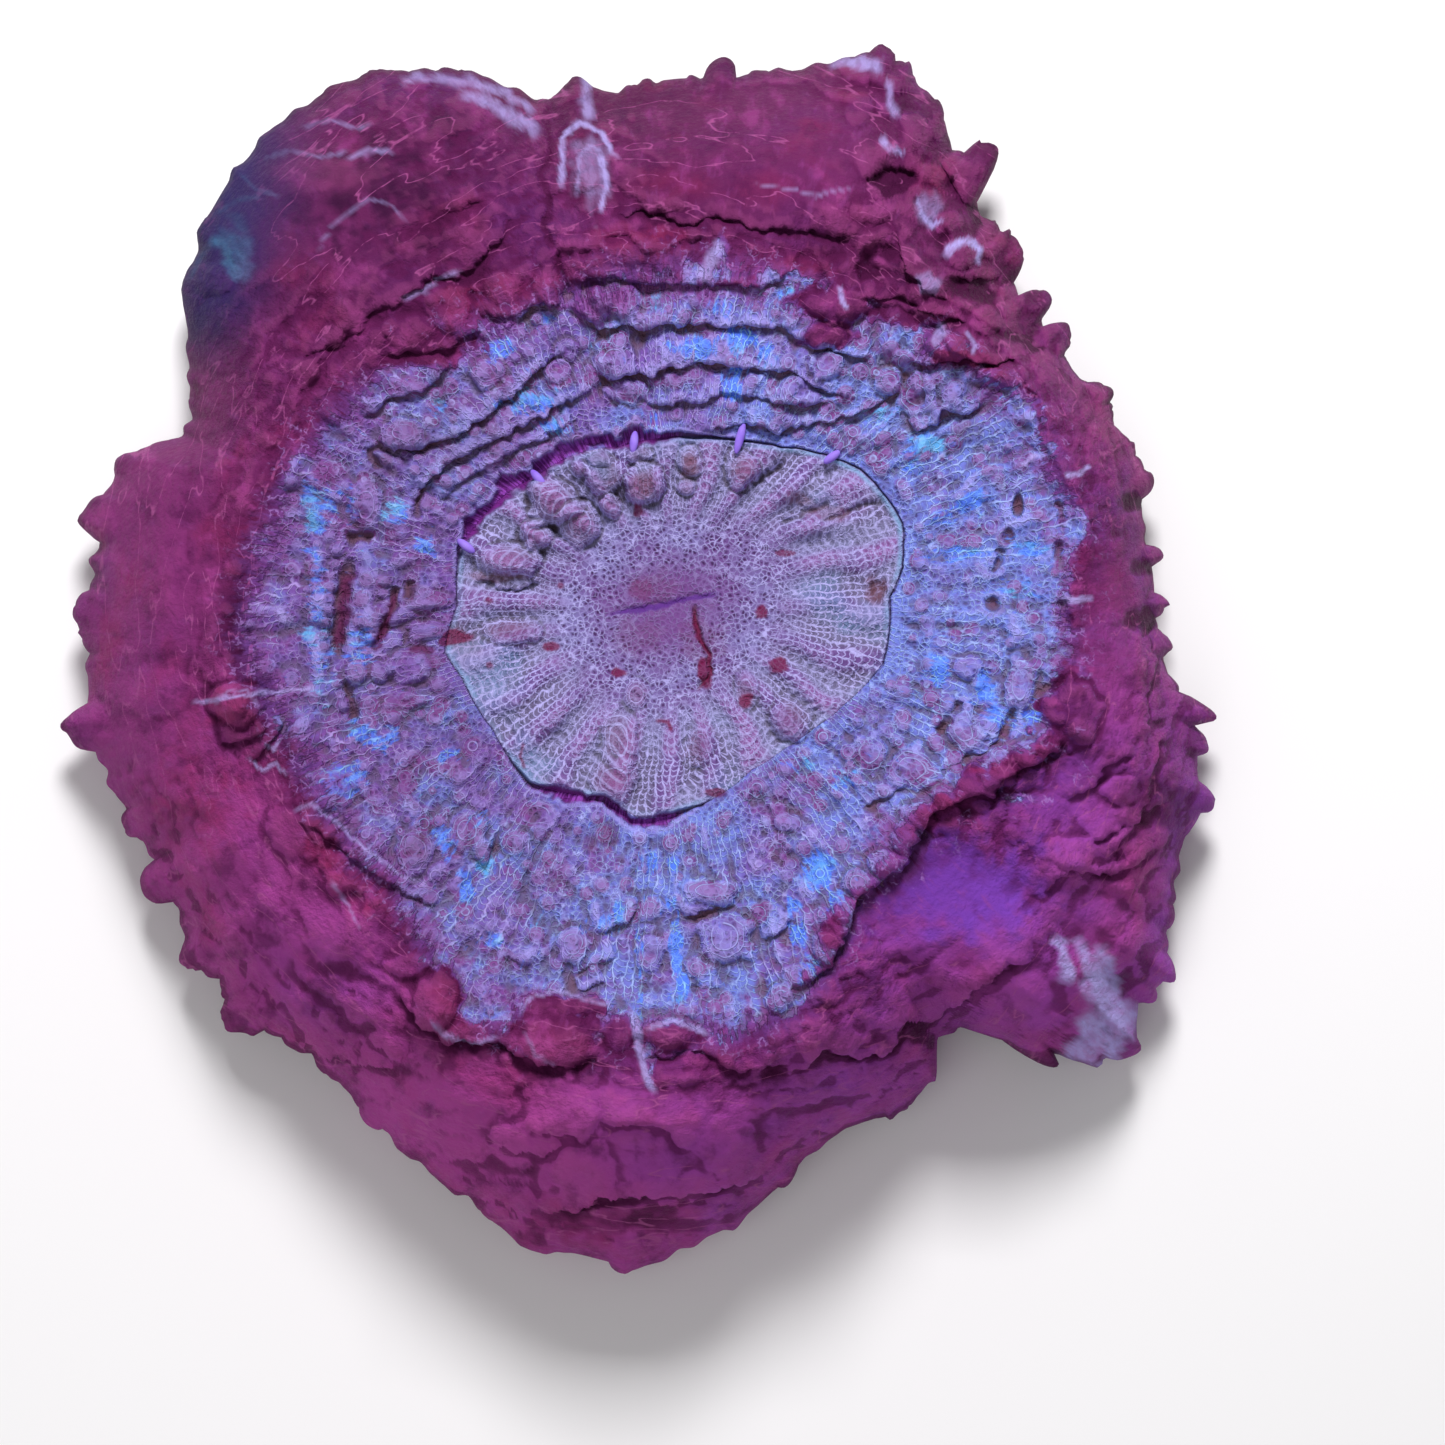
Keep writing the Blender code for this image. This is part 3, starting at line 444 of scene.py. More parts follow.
def spread_spots(spots, edge, fray=1.0):
    """How strongly a list of spots covers each place, with frayed edges of the given softness."""
    cover = np.zeros(PLANE_X.shape)
    ragged = fray * (0.4 * waves(1.8, 41) + 0.3 * waves(0.8, 42))
    for *spot, strength in spots:
        close, across, up = over_spot(*spot, 2.4)
        spread = strength * ramp(1.25 - np.hypot(across, up) + ragged[close], 0.0, edge)
        cover[close] = np.maximum(cover[close], spread)
    return cover


def scatter_bumps(allowed, count, radii, rises, seed):
    """Small round swellings strewn over the allowed part of the skin, in mm."""
    draw = np.random.default_rng(seed)
    rise = np.zeros(PLANE_X.shape)
    rows, columns = np.nonzero(allowed)
    for pick in draw.integers(0, len(rows), count):
        row, column = rows[pick], columns[pick]
        radius, swell = draw.uniform(*radii), draw.uniform(*rises)
        turns = 2 + int(radius / RADIUS[row, column] / (2 * math.pi) * STEPS)
        window = np.ix_(range(max(row - 12, 0), min(row + 13, len(rise))),
                        np.arange(column - turns, column + turns + 1) % STEPS)
        away = ((PLANE_X[window] - PLANE_X[row, column]) ** 2
                + (PLANE_Y[window] - PLANE_Y[row, column]) ** 2) / radius**2
        rise[window] = np.maximum(rise[window], swell * np.clip(1 - away**1.3, 0, 1))
    return rise


def shingles(outward, spacing, seed):
    """Overlapping flaps of flesh, from 0 to 1: each jumps up at its ragged edge and sinks behind it."""
    step = (outward / spacing + 0.5 * waves(1.3 * spacing, seed) + 0.17 * waves(0.4 * spacing, seed + 1)
            + 0.08 * waves(0.16 * spacing, seed + 2))
    share = step - np.floor(step)
    return ramp(share, 0.0, 0.12) * (1 - share) ** 1.2


def draped_shingles(far, spacing, seed):
    """Shingles that all hang towards the near side: outward on the far side, inward on the near one."""
    return far * shingles(RADIUS, spacing, seed) + (1 - far) * shingles(-RADIUS, spacing, seed + 10)


def gap_distance():
    """Distance in mm outward from the middle of the slit, which wanders a little round the disc."""
    half_width = around(SLIT_WIDTH, DEGREES)
    middle = around(DISC_EDGE, DEGREES) + np.clip(half_width - 0.35, 0, None)
    wander = ramp(half_width, 0.3, 0.8) * (0.6 * waves(2.2, 46) + 0.5 * waves(0.9, 48))
    return RADIUS - middle + wander + 0.12 * waves(1.1, 47)


def beads():
    """Small lumps set one after another along each row of beads."""
    for row in BEAD_ROWS:
        corners = np.array(row, dtype=float)
        passed = np.concatenate([[0], np.cumsum(np.hypot(*np.diff(corners, axis=0).T))])
        for stop in np.arange(0, passed[-1], BEAD_STEP):
            yield (*(np.interp(stop, passed, values) for values in corners.T), *BEAD_SHAPE)


RAGGED = 0.5 * waves(1.7, 22) + 0.3 * waves(0.7, 23)
WANDER = waves(5.0, 21)
RIBS = np.cos(np.radians(DEGREES * DISC_RIBS) + 1.6 * WANDER)
ARCHES = np.cos(2 * math.pi * (RADIUS / ARCH_SPACING - 0.6 * RIBS))
SLIT_HALF = around(SLIT_WIDTH, DEGREES)
FROM_GAP = gap_distance() / SLIT_HALF
SMOOTH = spread_spots(SMOOTH_SPOTS, 0.8, 0.0)


def ribs_and_slit():
    """Height that the disc's ribs, the ring's ribs and the slit between them add, in mm."""
    on_disc = ramp(SECTION, 0.4, 0.72) * ramp(1.0 - SECTION, 0.0, 0.06)
    on_ring = ramp(SECTION, 1.03, 1.12) * ramp(2.15 - SECTION, 0.0, 0.2)
    return (on_disc * (0.55 * RIBS + 0.07 * ARCHES)
            + on_ring * 0.22 * np.cos(np.radians(DEGREES * RING_RIBS) + 3.0 * WANDER)
            + on_ring * 0.08 * np.cos(np.radians(DEGREES * RING_LINES) + 4.0 * WANDER)
            + on_ring * (0.5 * waves(3.6, 5) + 0.22 * waves(1.5, 26))
            - np.exp(-(FROM_GAP**4)) * around(SLIT_DEPTH, DEGREES))


def rolls_and_clefts():
    """Height that rolls, flaps and clefts add, and how far right and up the flaps' lips lean, in mm."""
    rise, lean = np.zeros(PLANE_X.shape), np.zeros((2, *PLANE_X.shape))
    for points, lip, cut, reach in FLAPS:
        close, left, fade = beside(points, 3 * reach)
        left += RAGGED[close]
        on_flap = ramp(left, -0.25, 0.35)
        ahead = np.clip(left, 0, None)
        behind = (1 - 0.45 * np.exp(-ahead / 0.6)) * np.exp(-((ahead / (1.4 * reach)) ** 1.6))
        under = np.exp(-((np.clip(-left, 0, None) / 0.95) ** 1.6))
        depth = CREVICE_SHARE * cut * (0.75 + 0.5 * waves(3.0, 44, close))
        rise[close] += fade * (lip * behind * on_flap - depth * under * (1 - on_flap))
        along = np.subtract(seen(*points[-1]), seen(*points[0]))
        along /= np.hypot(*along)
        push = fade * np.exp(-ahead / 1.2) * on_flap * LIP_LEAN * min(lip / 1.6, 1.0)
        lean[0][close] += along[1] * push
        lean[1][close] -= along[0] * push
    for points, depth, half_width in CLEFTS:
        close, left, fade = beside(points, 4 * half_width)
        torn = left + (0.3 + 0.9 * half_width) * RAGGED[close]
        rise[close] -= fade * depth * np.exp(-((torn / half_width) ** 2))
    return rise, lean


def lumps_and_beads():
    """Height that the lumps and beads add, in mm, and where the small ones are, from 0 to 1."""
    rise, knobs = np.zeros(PLANE_X.shape), np.zeros(PLANE_X.shape)
    for *spot, swell in (*LUMPS, *beads()):
        close, across, up = over_spot(*spot, 1.5)
        unevenness = 0.1 if spot[2] >= EVEN_LUMP else 1.0
        away = (across**2 + up**2) * (1 + unevenness * (0.42 * waves(2.1, 45, close)
                                                        + 0.16 * waves(0.9, 51, close)))
        if max(spot[2:]) >= BROAD_LUMP:
            rise[close] += swell * np.clip(1 - away / 2.0, 0, 1) ** 2
            continue
        rise[close] += swell * np.clip(1 - (away / 1.3) ** 1.5, 0, 1)
        if swell > 0:
            rise[close] -= 0.16 * swell * np.exp(-((np.sqrt(away) - 1.16) / 0.16) ** 2)
            knobs[close] = np.maximum(knobs[close], np.clip(1.1 - away, 0, 1))
    return rise, knobs


def rough_flesh():
    """Height that the mantle's scales, creases and waves add, in mm."""
    calm = ramp(SECTION, 2.0, 2.2) * ramp(3.0 - SECTION, 0.0, 0.06)
    rough = 1 - SMOOTH
    wild = rough * ramp(SECTION, 2.0, 2.15) * ramp(3.0 - SECTION, 0.0, 0.06)
    far = ramp(np.sin(np.radians(DEGREES)), 0.15, 0.6)
    patchy = np.clip(0.75 + 0.7 * waves(11.0, 27), 0.2, 1.3)
    creases = 1 - np.abs(waves(2.4, 28))
    return (wild * patchy * draped_shingles(far, SCALE_SIZE, 60)
            + (0.07 + 0.36 * wild) * calm * draped_shingles(far, FINE_SCALE_SIZE, 80)
            + wild * (0.3 * creases + 0.14 * waves(1.3, 24) + 0.08 * waves(0.7, 25))
            + calm * (1.0 * waves(9.0, 3) + 0.05 * waves(1.1, 29) + (0.08 + 0.45 * rough) * waves(4.2, 4)))


def blisters():
    """Heights in mm of the ring's blisters and of the swellings strewn over the mantle."""
    on_ring = (SECTION > 1.08) & (SECTION < 2.02)
    by_crest = (SECTION > 2.0) & (SECTION < 2.35) & (1 - SMOOTH > 0.7)
    on_mantle = (SECTION > 2.05) & (SECTION < 2.95) & (1 - SMOOTH > 0.6)
    large = scatter_bumps(by_crest, count=110, radii=(0.8, 2.0), rises=(0.3, 0.7), seed=33)
    small = scatter_bumps(on_mantle, count=200, radii=(0.6, 1.6), rises=(0.15, 0.5), seed=32)
    return scatter_bumps(on_ring, count=800, radii=(0.5, 1.5), rises=(0.2, 0.6), seed=31), large + small


ROLLS, LEAN = rolls_and_clefts()
KNOBS_RISE, KNOBS = lumps_and_beads()
BLISTERS, SWELLINGS = blisters()
RISE = ribs_and_slit() + ROLLS + KNOBS_RISE + rough_flesh() + BLISTERS + SWELLINGS
VESICLES = np.maximum(np.clip(BLISTERS / 0.5, 0, 1), KNOBS * ramp(2.04 - SECTION, 0.0, 0.1))
SKIN = lay(PLANE_X + LEAN[0], PLANE_Y + LEAN[1], smooth_height(DEGREES, SECTION) + RISE)


def sheet_below(section):
    """Rows of a plain sheet under the skin, which closes a piece where nobody sees it."""
    degrees, section = np.meshgrid(DEGREES[0], section)
    x, y = seen_places(degrees, section)
    return lay(x, y, smooth_height(degrees, section) - SHEET_DEPTH)


def below_skin(rings, turn):
    """How far each place lies below the skin round it, in mm, by blurring the heights over the grid."""
    mean = RISE.copy()
    for rows, columns in zip(rings, turn):
        padded = np.pad(mean, ((rows, rows), (0, 0)), mode="edge")
        mean = (mean + padded[:-2 * rows] + padded[2 * rows:]
                + np.roll(mean, columns, axis=1) + np.roll(mean, -columns, axis=1)) / 5
    return mean - RISE


def seam_normals(row):
    """Normals of the whole skin along one of its rows, so that two pieces meet there without a line."""
    outward = SKIN[row + 1] - SKIN[row - 1]
    sideways = np.roll(SKIN[row], -1, axis=0) - np.roll(SKIN[row], 1, axis=0)
    normals = np.cross(outward, sideways)
    return normals / np.linalg.norm(normals, axis=1)[:, None]


def closed_piece(name, grid, marks, capped):
    """A closed piece from rows of places, in mm. It is capped at both ends, or its rows meet in a ring."""
    rows, steps = grid.shape[:2]
    bands = rows - 1 if capped else rows
    sheet = bmesh.new()
    bmesh.ops.create_grid(sheet, x_segments=steps, y_segments=bands, size=1.0)
    mesh = bpy.data.meshes.new(name)
    sheet.to_mesh(mesh)
    flat = np.empty(len(mesh.vertices) * 3, dtype=np.float32)
    mesh.vertices.foreach_get("co", flat)
    column = np.rint((flat[0::3] + 1) / 2 * steps).astype(int) % steps
    row = np.rint((flat[1::3] + 1) / 2 * bands).astype(int) % rows
    mesh.vertices.foreach_set("co", (grid[row, column] * MM).astype(np.float32).ravel())
    for mark, values in marks.items():
        kind, field = ("FLOAT_VECTOR", "vector") if values.ndim == 3 else ("FLOAT", "value")
        attribute = mesh.attributes.new(mark, kind, "POINT")
        attribute.data.foreach_set(field, values[row, column].astype(np.float32).ravel())
    sheet.clear()
    sheet.from_mesh(mesh)
    bmesh.ops.remove_doubles(sheet, verts=sheet.verts, dist=1e-7)
    bmesh.ops.recalc_face_normals(sheet, faces=sheet.faces)
    sheet.to_mesh(mesh)
    sheet.free()
    mesh.shade_smooth()
    if "seam_normal" in marks:
        normals = np.empty(len(mesh.vertices) * 3, dtype=np.float32)
        mesh.attributes["seam_normal"].data.foreach_get("vector", normals)
        mesh.normals_split_custom_set_from_vertices(normals.reshape(-1, 3))
    piece = bpy.data.objects.new(name, mesh)
    bpy.context.scene.collection.objects.link(piece)
    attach(piece, "root")
    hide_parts("coral")
    return piece


# Blotches of colour by photo pixel: x, y, half width and half height in pixels, strength
BLUE_SPOTS = (
    (322, 505, 24, 22, 0.7), (360, 735, 15, 13, 0.9), (332, 784, 26, 12, 0.9), (396, 514, 14, 12, 0.7),
    (350, 505, 10, 14, 0.7), (316, 524, 14, 10, 0.8), (316, 639, 14, 14, 0.7), (382, 738, 18, 13, 0.9),
    (424, 545, 14, 11, 0.8), (345, 775, 20, 14, 0.9), (360, 645, 16, 16, 0.7), (445, 755, 12, 8, 0.8),
    (467, 896, 9, 26, 0.9), (484, 866, 12, 12, 0.8), (446, 845, 12, 18, 0.7), (820, 870, 16, 22, 1.0),
    (832, 902, 12, 14, 1.0), (800, 935, 11, 20, 1.0), (812, 962, 13, 16, 1.0), (976, 500, 16, 14, 1.0),
    (1030, 548, 22, 10, 0.9), (960, 552, 40, 9, 0.7), (940, 664, 14, 16, 0.9), (985, 690, 14, 16, 0.9),
    (1035, 716, 14, 16, 0.8), (941, 519, 16, 14, 0.6), (700, 345, 26, 10, 0.8), (740, 340, 18, 10, 0.9),
    (766, 351, 8, 12, 0.8), (720, 305, 20, 10, 0.6), (790, 300, 12, 14, 0.7), (660, 300, 26, 16, 0.4),
    (530, 402, 30, 12, 0.8), (545, 425, 24, 9, 0.8), (435, 402, 10, 12, 0.8), (500, 350, 16, 10, 0.8),
    (545, 322, 10, 8, 0.7), (730, 385, 14, 16, 0.8), (650, 425, 10, 16, 0.5), (676, 940, 5, 36, 1.0),
    (669, 905, 9, 12, 0.9), (650, 862, 10, 14, 0.8), (681, 990, 8, 16, 0.8), (674, 862, 8, 10, 0.8),
    (615, 910, 8, 10, 0.8), (640, 1000, 5, 70, 0.7), (600, 925, 18, 10, 0.5), (490, 940, 14, 10, 0.7),
    (930, 445, 18, 10, 0.8), (910, 466, 18, 10, 0.6), (880, 415, 16, 14, 0.5), (1096, 707, 13, 6, 0.9),
    (790, 905, 10, 12, 0.7), (840, 780, 14, 10, 0.7), (316, 586, 11, 64, 0.55), (322, 690, 10, 50, 0.5),
    (306, 830, 24, 12, 0.6), (800, 765, 18, 12, 0.5), (1000, 712, 20, 14, 0.6), (1015, 590, 26, 12, 0.5),
    (480, 815, 16, 12, 0.4),
)
PALE_SPOTS = (
    (1110, 1026, 30, 36, 1.0), (1082, 1050, 24, 12, 0.9), (1102, 985, 17, 34, 1.0), (236, 250, 16, 30, 0.5),
    (928, 212, 13, 18, 0.4), (592, 172, 20, 40, 0.35),
)
RED_SPOTS = (
    (459, 636, 13, 6, 1.0), (447, 642, 8, 4, 1.0), (550, 647, 8, 5, 1.0), (618, 673, 8, 4, 1.0),
    (746, 703, 9, 7, 1.0), (778, 665, 10, 9, 1.0), (763, 612, 7, 8, 1.0), (787, 553, 9, 3, 0.8),
    (639, 512, 6, 8, 0.9), (421, 650, 14, 4, 0.8), (489, 601, 5, 3, 0.8), (716, 792, 9, 4, 0.9),
    (560, 586, 4, 4, 0.8), (490, 665, 3, 3, 0.8), (640, 590, 14, 10, 0.35), (610, 835, 8, 12, 0.5),
    (1070, 650, 16, 8, 0.5), (590, 842, 6, 7, 0.5), (706, 668, 6, 14, 1.0),
)
# Brown flesh, and painted shade in the pits and crevices of the ring
BROWN_AND_SHADE_SPOTS = (
    (876, 591, 11, 13, 0.7), (410, 592, 9, 9, 0.9), (690, 466, 10, 14, 0.7), (640, 486, 12, 14, 0.4),
    (1018, 507, 6, 12, 0.8), (1008, 536, 5, 8, 0.8), (993, 604, 8, 8, 0.5), (1010, 606, 14, 10, 0.5),
    (362, 532, 14, 10, 0.5), (355, 700, 6, 16, 0.4), (500, 576, 26, 5, 0.6), (745, 470, 12, 12, 0.4),
    (415, 849, 14, 16, 0.5), (970, 430, 16, 12, 0.5), (380, 466, 20, 18, 0.5), (566, 440, 20, 8, 0.3),
    (652, 584, 28, 16, 0.2), (704, 640, 24, 26, 0.25), (640, 636, 30, 20, 0.2), (830, 512, 30, 8, 0.5),
    (800, 500, 14, 8, 0.5), (450, 436, 70, 24, 0.3), (400, 610, 30, 50, 0.15), (490, 400, 40, 14, 0.3),
    (460, 640, 20, 20, 0.3),
)
# Painted shade in pits and hollows, under overhanging knobs and flaps, and over the mantle's far side
SHADE_SPOTS = (
    (190, 230, 110, 140, 1.0), (370, 190, 130, 100, 1.0), (820, 1030, 60, 40, 0.4), (1060, 300, 40, 90, 0.5),
    (900, 260, 60, 60, 0.7), (590, 1068, 22, 14, 0.9), (600, 1226, 84, 20, 0.4), (726, 1200, 50, 16, 0.35),
    (1132, 502, 11, 10, 1.0), (1141, 566, 11, 10, 1.0), (1143, 622, 14, 13, 1.0), (895, 176, 20, 14, 0.7),
    (330, 200, 150, 80, 0.8), (830, 252, 60, 26, 0.7), (560, 1240, 60, 16, 0.3), (1160, 800, 30, 50, 0.6),
    (860, 990, 40, 30, 0.6), (1080, 735, 24, 16, 0.9), (430, 130, 90, 50, 0.8), (232, 620, 24, 60, 0.45),
    (262, 728, 34, 26, 0.7), (205, 470, 50, 26, 0.3), (286, 500, 24, 40, 0.5), (330, 985, 40, 40, 0.6),
    (240, 890, 36, 40, 0.3), (150, 650, 30, 60, 0.25), (430, 1030, 40, 24, 0.5),
)
VIOLET_SPOTS = ((955, 885, 150, 88, 0.95), (1095, 905, 56, 60, 0.5))
RUST_SPOTS = (
    (640, 236, 70, 16, 0.6), (530, 286, 50, 18, 0.6), (590, 196, 30, 16, 0.5), (470, 300, 40, 22, 0.6),
    (238, 706, 30, 24, 0.6), (200, 800, 60, 70, 0.5), (330, 850, 34, 30, 0.6), (380, 900, 40, 26, 0.5),
    (800, 262, 60, 20, 0.6), (930, 180, 30, 30, 0.5), (1000, 250, 30, 40, 0.4), (560, 1046, 40, 24, 0.25),
    (1140, 850, 30, 90, 0.4), (1080, 930, 40, 60, 0.15), (1120, 580, 26, 70, 0.3), (450, 1010, 40, 34, 0.4),
    (600, 1222, 130, 30, 0.5), (1120, 420, 40, 90, 0.3), (985, 762, 26, 12, 0.8), (940, 800, 18, 14, 0.6),
    (322, 842, 26, 14, 0.7), (352, 872, 24, 14, 0.6), (205, 800, 40, 50, 0.6),
)
# Lines and ridges of colour by photo pixel: points, half width in mm, strength
PALE_STROKES = (
    (((1050, 938), (1062, 948), (1068, 968), (1064, 986)), 0.8, 0.9),
    (((1074, 936), (1086, 956), (1088, 978), (1080, 990)), 0.7, 0.8),
    (((1092, 950), (1104, 966), (1112, 990), (1110, 1020), (1096, 1044), (1074, 1054)), 1.1, 0.9),
    (((563, 190), (562, 137), (580, 123), (600, 131), (618, 160)), 0.4, 0.8),
    (((576, 198), (580, 156), (592, 146), (604, 156)), 0.3, 0.6),
    (((589, 122), (586, 96), (594, 70)), 0.8, 0.6), (((600, 150), (606, 186), (600, 214)), 0.4, 0.8),
    (((890, 78), (890, 100), (896, 118)), 0.5, 0.6), (((881, 136), (886, 146), (906, 153)), 0.4, 0.7),
    (((943, 258), (950, 246), (968, 241), (980, 250), (976, 264)), 0.45, 1.0),
    (((918, 196), (922, 214), (932, 226), (944, 218)), 0.35, 0.8),
    (((828, 58), (855, 62), (884, 66)), 0.8, 0.7),
    (((208, 238), (222, 246), (232, 262), (243, 280)), 0.9, 0.9),
    (((226, 236), (240, 250), (248, 268)), 0.5, 0.7),
    (((460, 92), (490, 104), (520, 122), (540, 136)), 0.9, 0.6),
    (((470, 82), (505, 94), (536, 112)), 0.6, 0.6), (((346, 159), (372, 150), (394, 152)), 0.35, 0.4),
    (((316, 252), (332, 226), (352, 210), (369, 198), (392, 206), (408, 224)), 0.2, 0.22),
    (((186, 282), (200, 258), (216, 240), (236, 228)), 0.3, 0.35),
    (((214, 216), (236, 200), (262, 196)), 0.3, 0.3),
    (((262, 160), (290, 150), (322, 158), (350, 150)), 0.25, 0.3),
    (((240, 172), (256, 190), (280, 196)), 0.25, 0.3),
    (((300, 128), (330, 120), (356, 128), (380, 122)), 0.25, 0.3),
    (((754, 184), (796, 190), (816, 196), (855, 187)), 0.2, 0.3),
    (((701, 280), (712, 262), (722, 240)), 0.9, 0.7),
    (((191, 704), (230, 696), (275, 692), (319, 687)), 0.3, 0.7),
    (((400, 80), (440, 76), (480, 84)), 0.7, 0.5), (((918, 284), (930, 281), (942, 286)), 0.8, 0.5),
    (((840, 286), (843, 298), (846, 310)), 0.4, 0.8), (((940, 322), (944, 332), (930, 342)), 0.6, 0.7),
    (((1064, 476), (1078, 474), (1092, 467)), 0.3, 0.9),
    (((1022, 466), (1034, 454), (1046, 456)), 0.25, 0.7),
    (((1060, 598), (1078, 600), (1094, 598)), 0.35, 0.8),
    (((632, 1010), (638, 1040), (646, 1070), (655, 1094)), 0.5, 0.8),
    (((645, 1030), (670, 1019), (700, 1030), (708, 1036)), 0.3, 0.8),
    (((430, 1018), (446, 1034), (474, 1042), (500, 1034)), 0.25, 0.6),
    (((518, 1016), (530, 998), (556, 990), (590, 1000), (618, 1008)), 0.22, 0.6),
    (((524, 1030), (536, 1052), (560, 1064)), 0.18, 0.3),
    (((400, 300), (424, 290), (440, 276), (462, 268)), 0.3, 0.5),
    (((966, 330), (974, 344), (972, 352)), 0.3, 0.6),
    (((292, 812), (312, 804), (336, 820), (368, 850), (404, 876), (430, 884)), 0.22, 0.6),
    (((330, 880), (346, 904), (362, 930)), 0.2, 0.4),
    (((214, 706), (228, 690), (248, 690), (258, 708)), 0.2, 0.5),
    (((252, 600), (262, 608), (280, 606), (284, 622), (300, 626)), 0.25, 0.6),
    (((246, 756), (262, 770), (276, 762), (288, 776)), 0.25, 0.6),
    (((262, 742), (274, 750), (280, 738)), 0.22, 0.6),
)
RED_STROKES = (
    (((692, 604), (698, 636), (709, 655), (709, 674), (697, 692)), 0.35, 1.0),
    (((655, 721), (668, 722), (672, 732)), 0.25, 1.0),
    (((352, 570), (346, 600), (338, 633), (341, 652)), 0.8, 0.9),
    (((396, 590), (388, 616), (378, 640), (378, 652)), 0.5, 0.9),
    (((524, 742), (520, 756), (524, 770)), 0.2, 0.8),
)
RUST_STROKES = (
    (((764, 1014), (816, 962), (830, 934), (850, 892), (894, 858), (918, 812), (952, 792), (984, 784)),
      1.2, 0.4), (((994, 776), (1006, 764), (1040, 750), (1062, 732)), 1.2, 0.5),
)
MOUTH_LINES = ((((606, 616), (640, 609), (680, 602), (722, 594)), 0.4, 1.0),)
# Parts beside the border that have the mantle's colour, or the ring's, by photo pixel
MANTLE_BLOBS = (
    (560, 1036, 40, 32, 1.0), (566, 1006, 48, 12, 0.9), (668, 1034, 34, 13, 0.9), (438, 1000, 22, 32, 0.9),
    (620, 1032, 14, 24, 0.5), (1070, 704, 34, 34, 1.0), (1020, 768, 30, 20, 0.9), (975, 792, 22, 24, 1.0),
    (940, 814, 26, 18, 1.0), (835, 302, 40, 16, 1.0), (830, 334, 34, 12, 0.9), (760, 282, 40, 6, 0.5),
    (980, 356, 40, 10, 1.0), (420, 350, 50, 26, 0.8), (900, 300, 30, 30, 0.9), (1086, 590, 14, 40, 0.7),
    (700, 1072, 60, 16, 0.8), (830, 930, 14, 20, 0.5), (308, 850, 20, 30, 0.7), (330, 905, 30, 20, 0.6),
)
RING_BLOBS = (
    (410, 372, 34, 10, 0.8), (545, 316, 30, 10, 0.9), (780, 284, 26, 12, 0.8), (905, 330, 20, 24, 0.6),
    (1020, 420, 24, 20, 0.7), (650, 1060, 8, 34, 0.8), (1075, 520, 12, 20, 0.5), (690, 268, 10, 14, 0.6),
    (480, 1010, 30, 10, 0.7), (1040, 800, 26, 8, 0.5), (1080, 780, 14, 26, 0.5), (780, 1000, 24, 20, 0.5),
    (290, 640, 20, 60, 0.4), (300, 480, 14, 26, 0.5), (722, 250, 8, 20, 0.6),
)
# Strength of a colour by degrees: the painted shade along the closed part of the slit, the painted shade of
# the crest and of the mantle, the ring's blue, the mantle's violet, the painted light on its bright part,
# and the disc's pale margin
SLIT_SHADE = (
    (0, 0.8), (50, 0.8), (170, 0.5), (200, 0.25), (225, 0.5), (280, 0.1), (300, 0.0), (335, 0.1), (345, 0.7),
)
CREST_SHADE = ((0, 0.0), (100, 0.0), (150, 0.8), (215, 1.0), (240, 0.5), (260, 0.0))
MANTLE_SHADE = ((0, 0.4), (50, 0.7), (90, 1.0), (130, 1.1), (165, 0.6), (200, 0.15), (340, 0.1))
AZURE = (
    (0, 1.0), (45, 0.9), (75, 0.5), (110, 0.4), (140, 0.25), (170, 0.15), (200, 0.25), (235, 0.45),
    (270, 0.8), (300, 0.6), (330, 0.9),
)
VIOLET = ((0, 0.25), (60, 0.1), (200, 0.0), (250, 0.1), (290, 0.35), (330, 0.4))
NEAR_SIDE_LIGHT = (
    (0, 0.55), (45, 0.25), (90, 0.0), (140, 0.1), (180, 0.45), (220, 1.0), (270, 1.0), (312, 1.05),
    (326, 1.1), (340, 0.8),
)
MARGIN = ((0, 1.0), (50, 1.2), (80, 0.6), (275, 0.8), (288, 0.2), (335, 0.2))
# How far the ring's colour stops short of its edge, in mm by degrees
BORDER_SHIFT = ((0, 0.0), (60, 0.0), (150, 0.0), (172, 1.6), (205, 1.2), (225, 0.0))
BLUE_SPREAD = 1.3
FLOW_RADIUS = 25.0


def drawn_lines(strokes):
    """How strongly a list of drawn lines covers each place."""
    cover = np.zeros(PLANE_X.shape)
    for points, half_width, strength in strokes:
        close, left, fade = beside(points, 3.5 * half_width)
        width = half_width * (1 + 0.35 * waves(1.3, 43, close))
        left += half_width * (0.5 * waves(2.2, 49, close) + 0.4 * waves(0.7, 50, close))
        line = strength * fade * ramp(width * 1.4 - np.abs(left), 0.0, width)
        cover[close] = np.maximum(cover[close], line)
    return cover


def painted_shade():
    """Where the mantle and the crest are painted darker, as shade."""
    dusk = spread_spots(SHADE_SPOTS, 1.4) + 0.5 * ramp(SECTION, 2.15, 2.0) * around(CREST_SHADE, DEGREES)
    return np.maximum(dusk, 0.38 * ramp(SECTION, 1.9, 2.4) * around(MANTLE_SHADE, DEGREES))


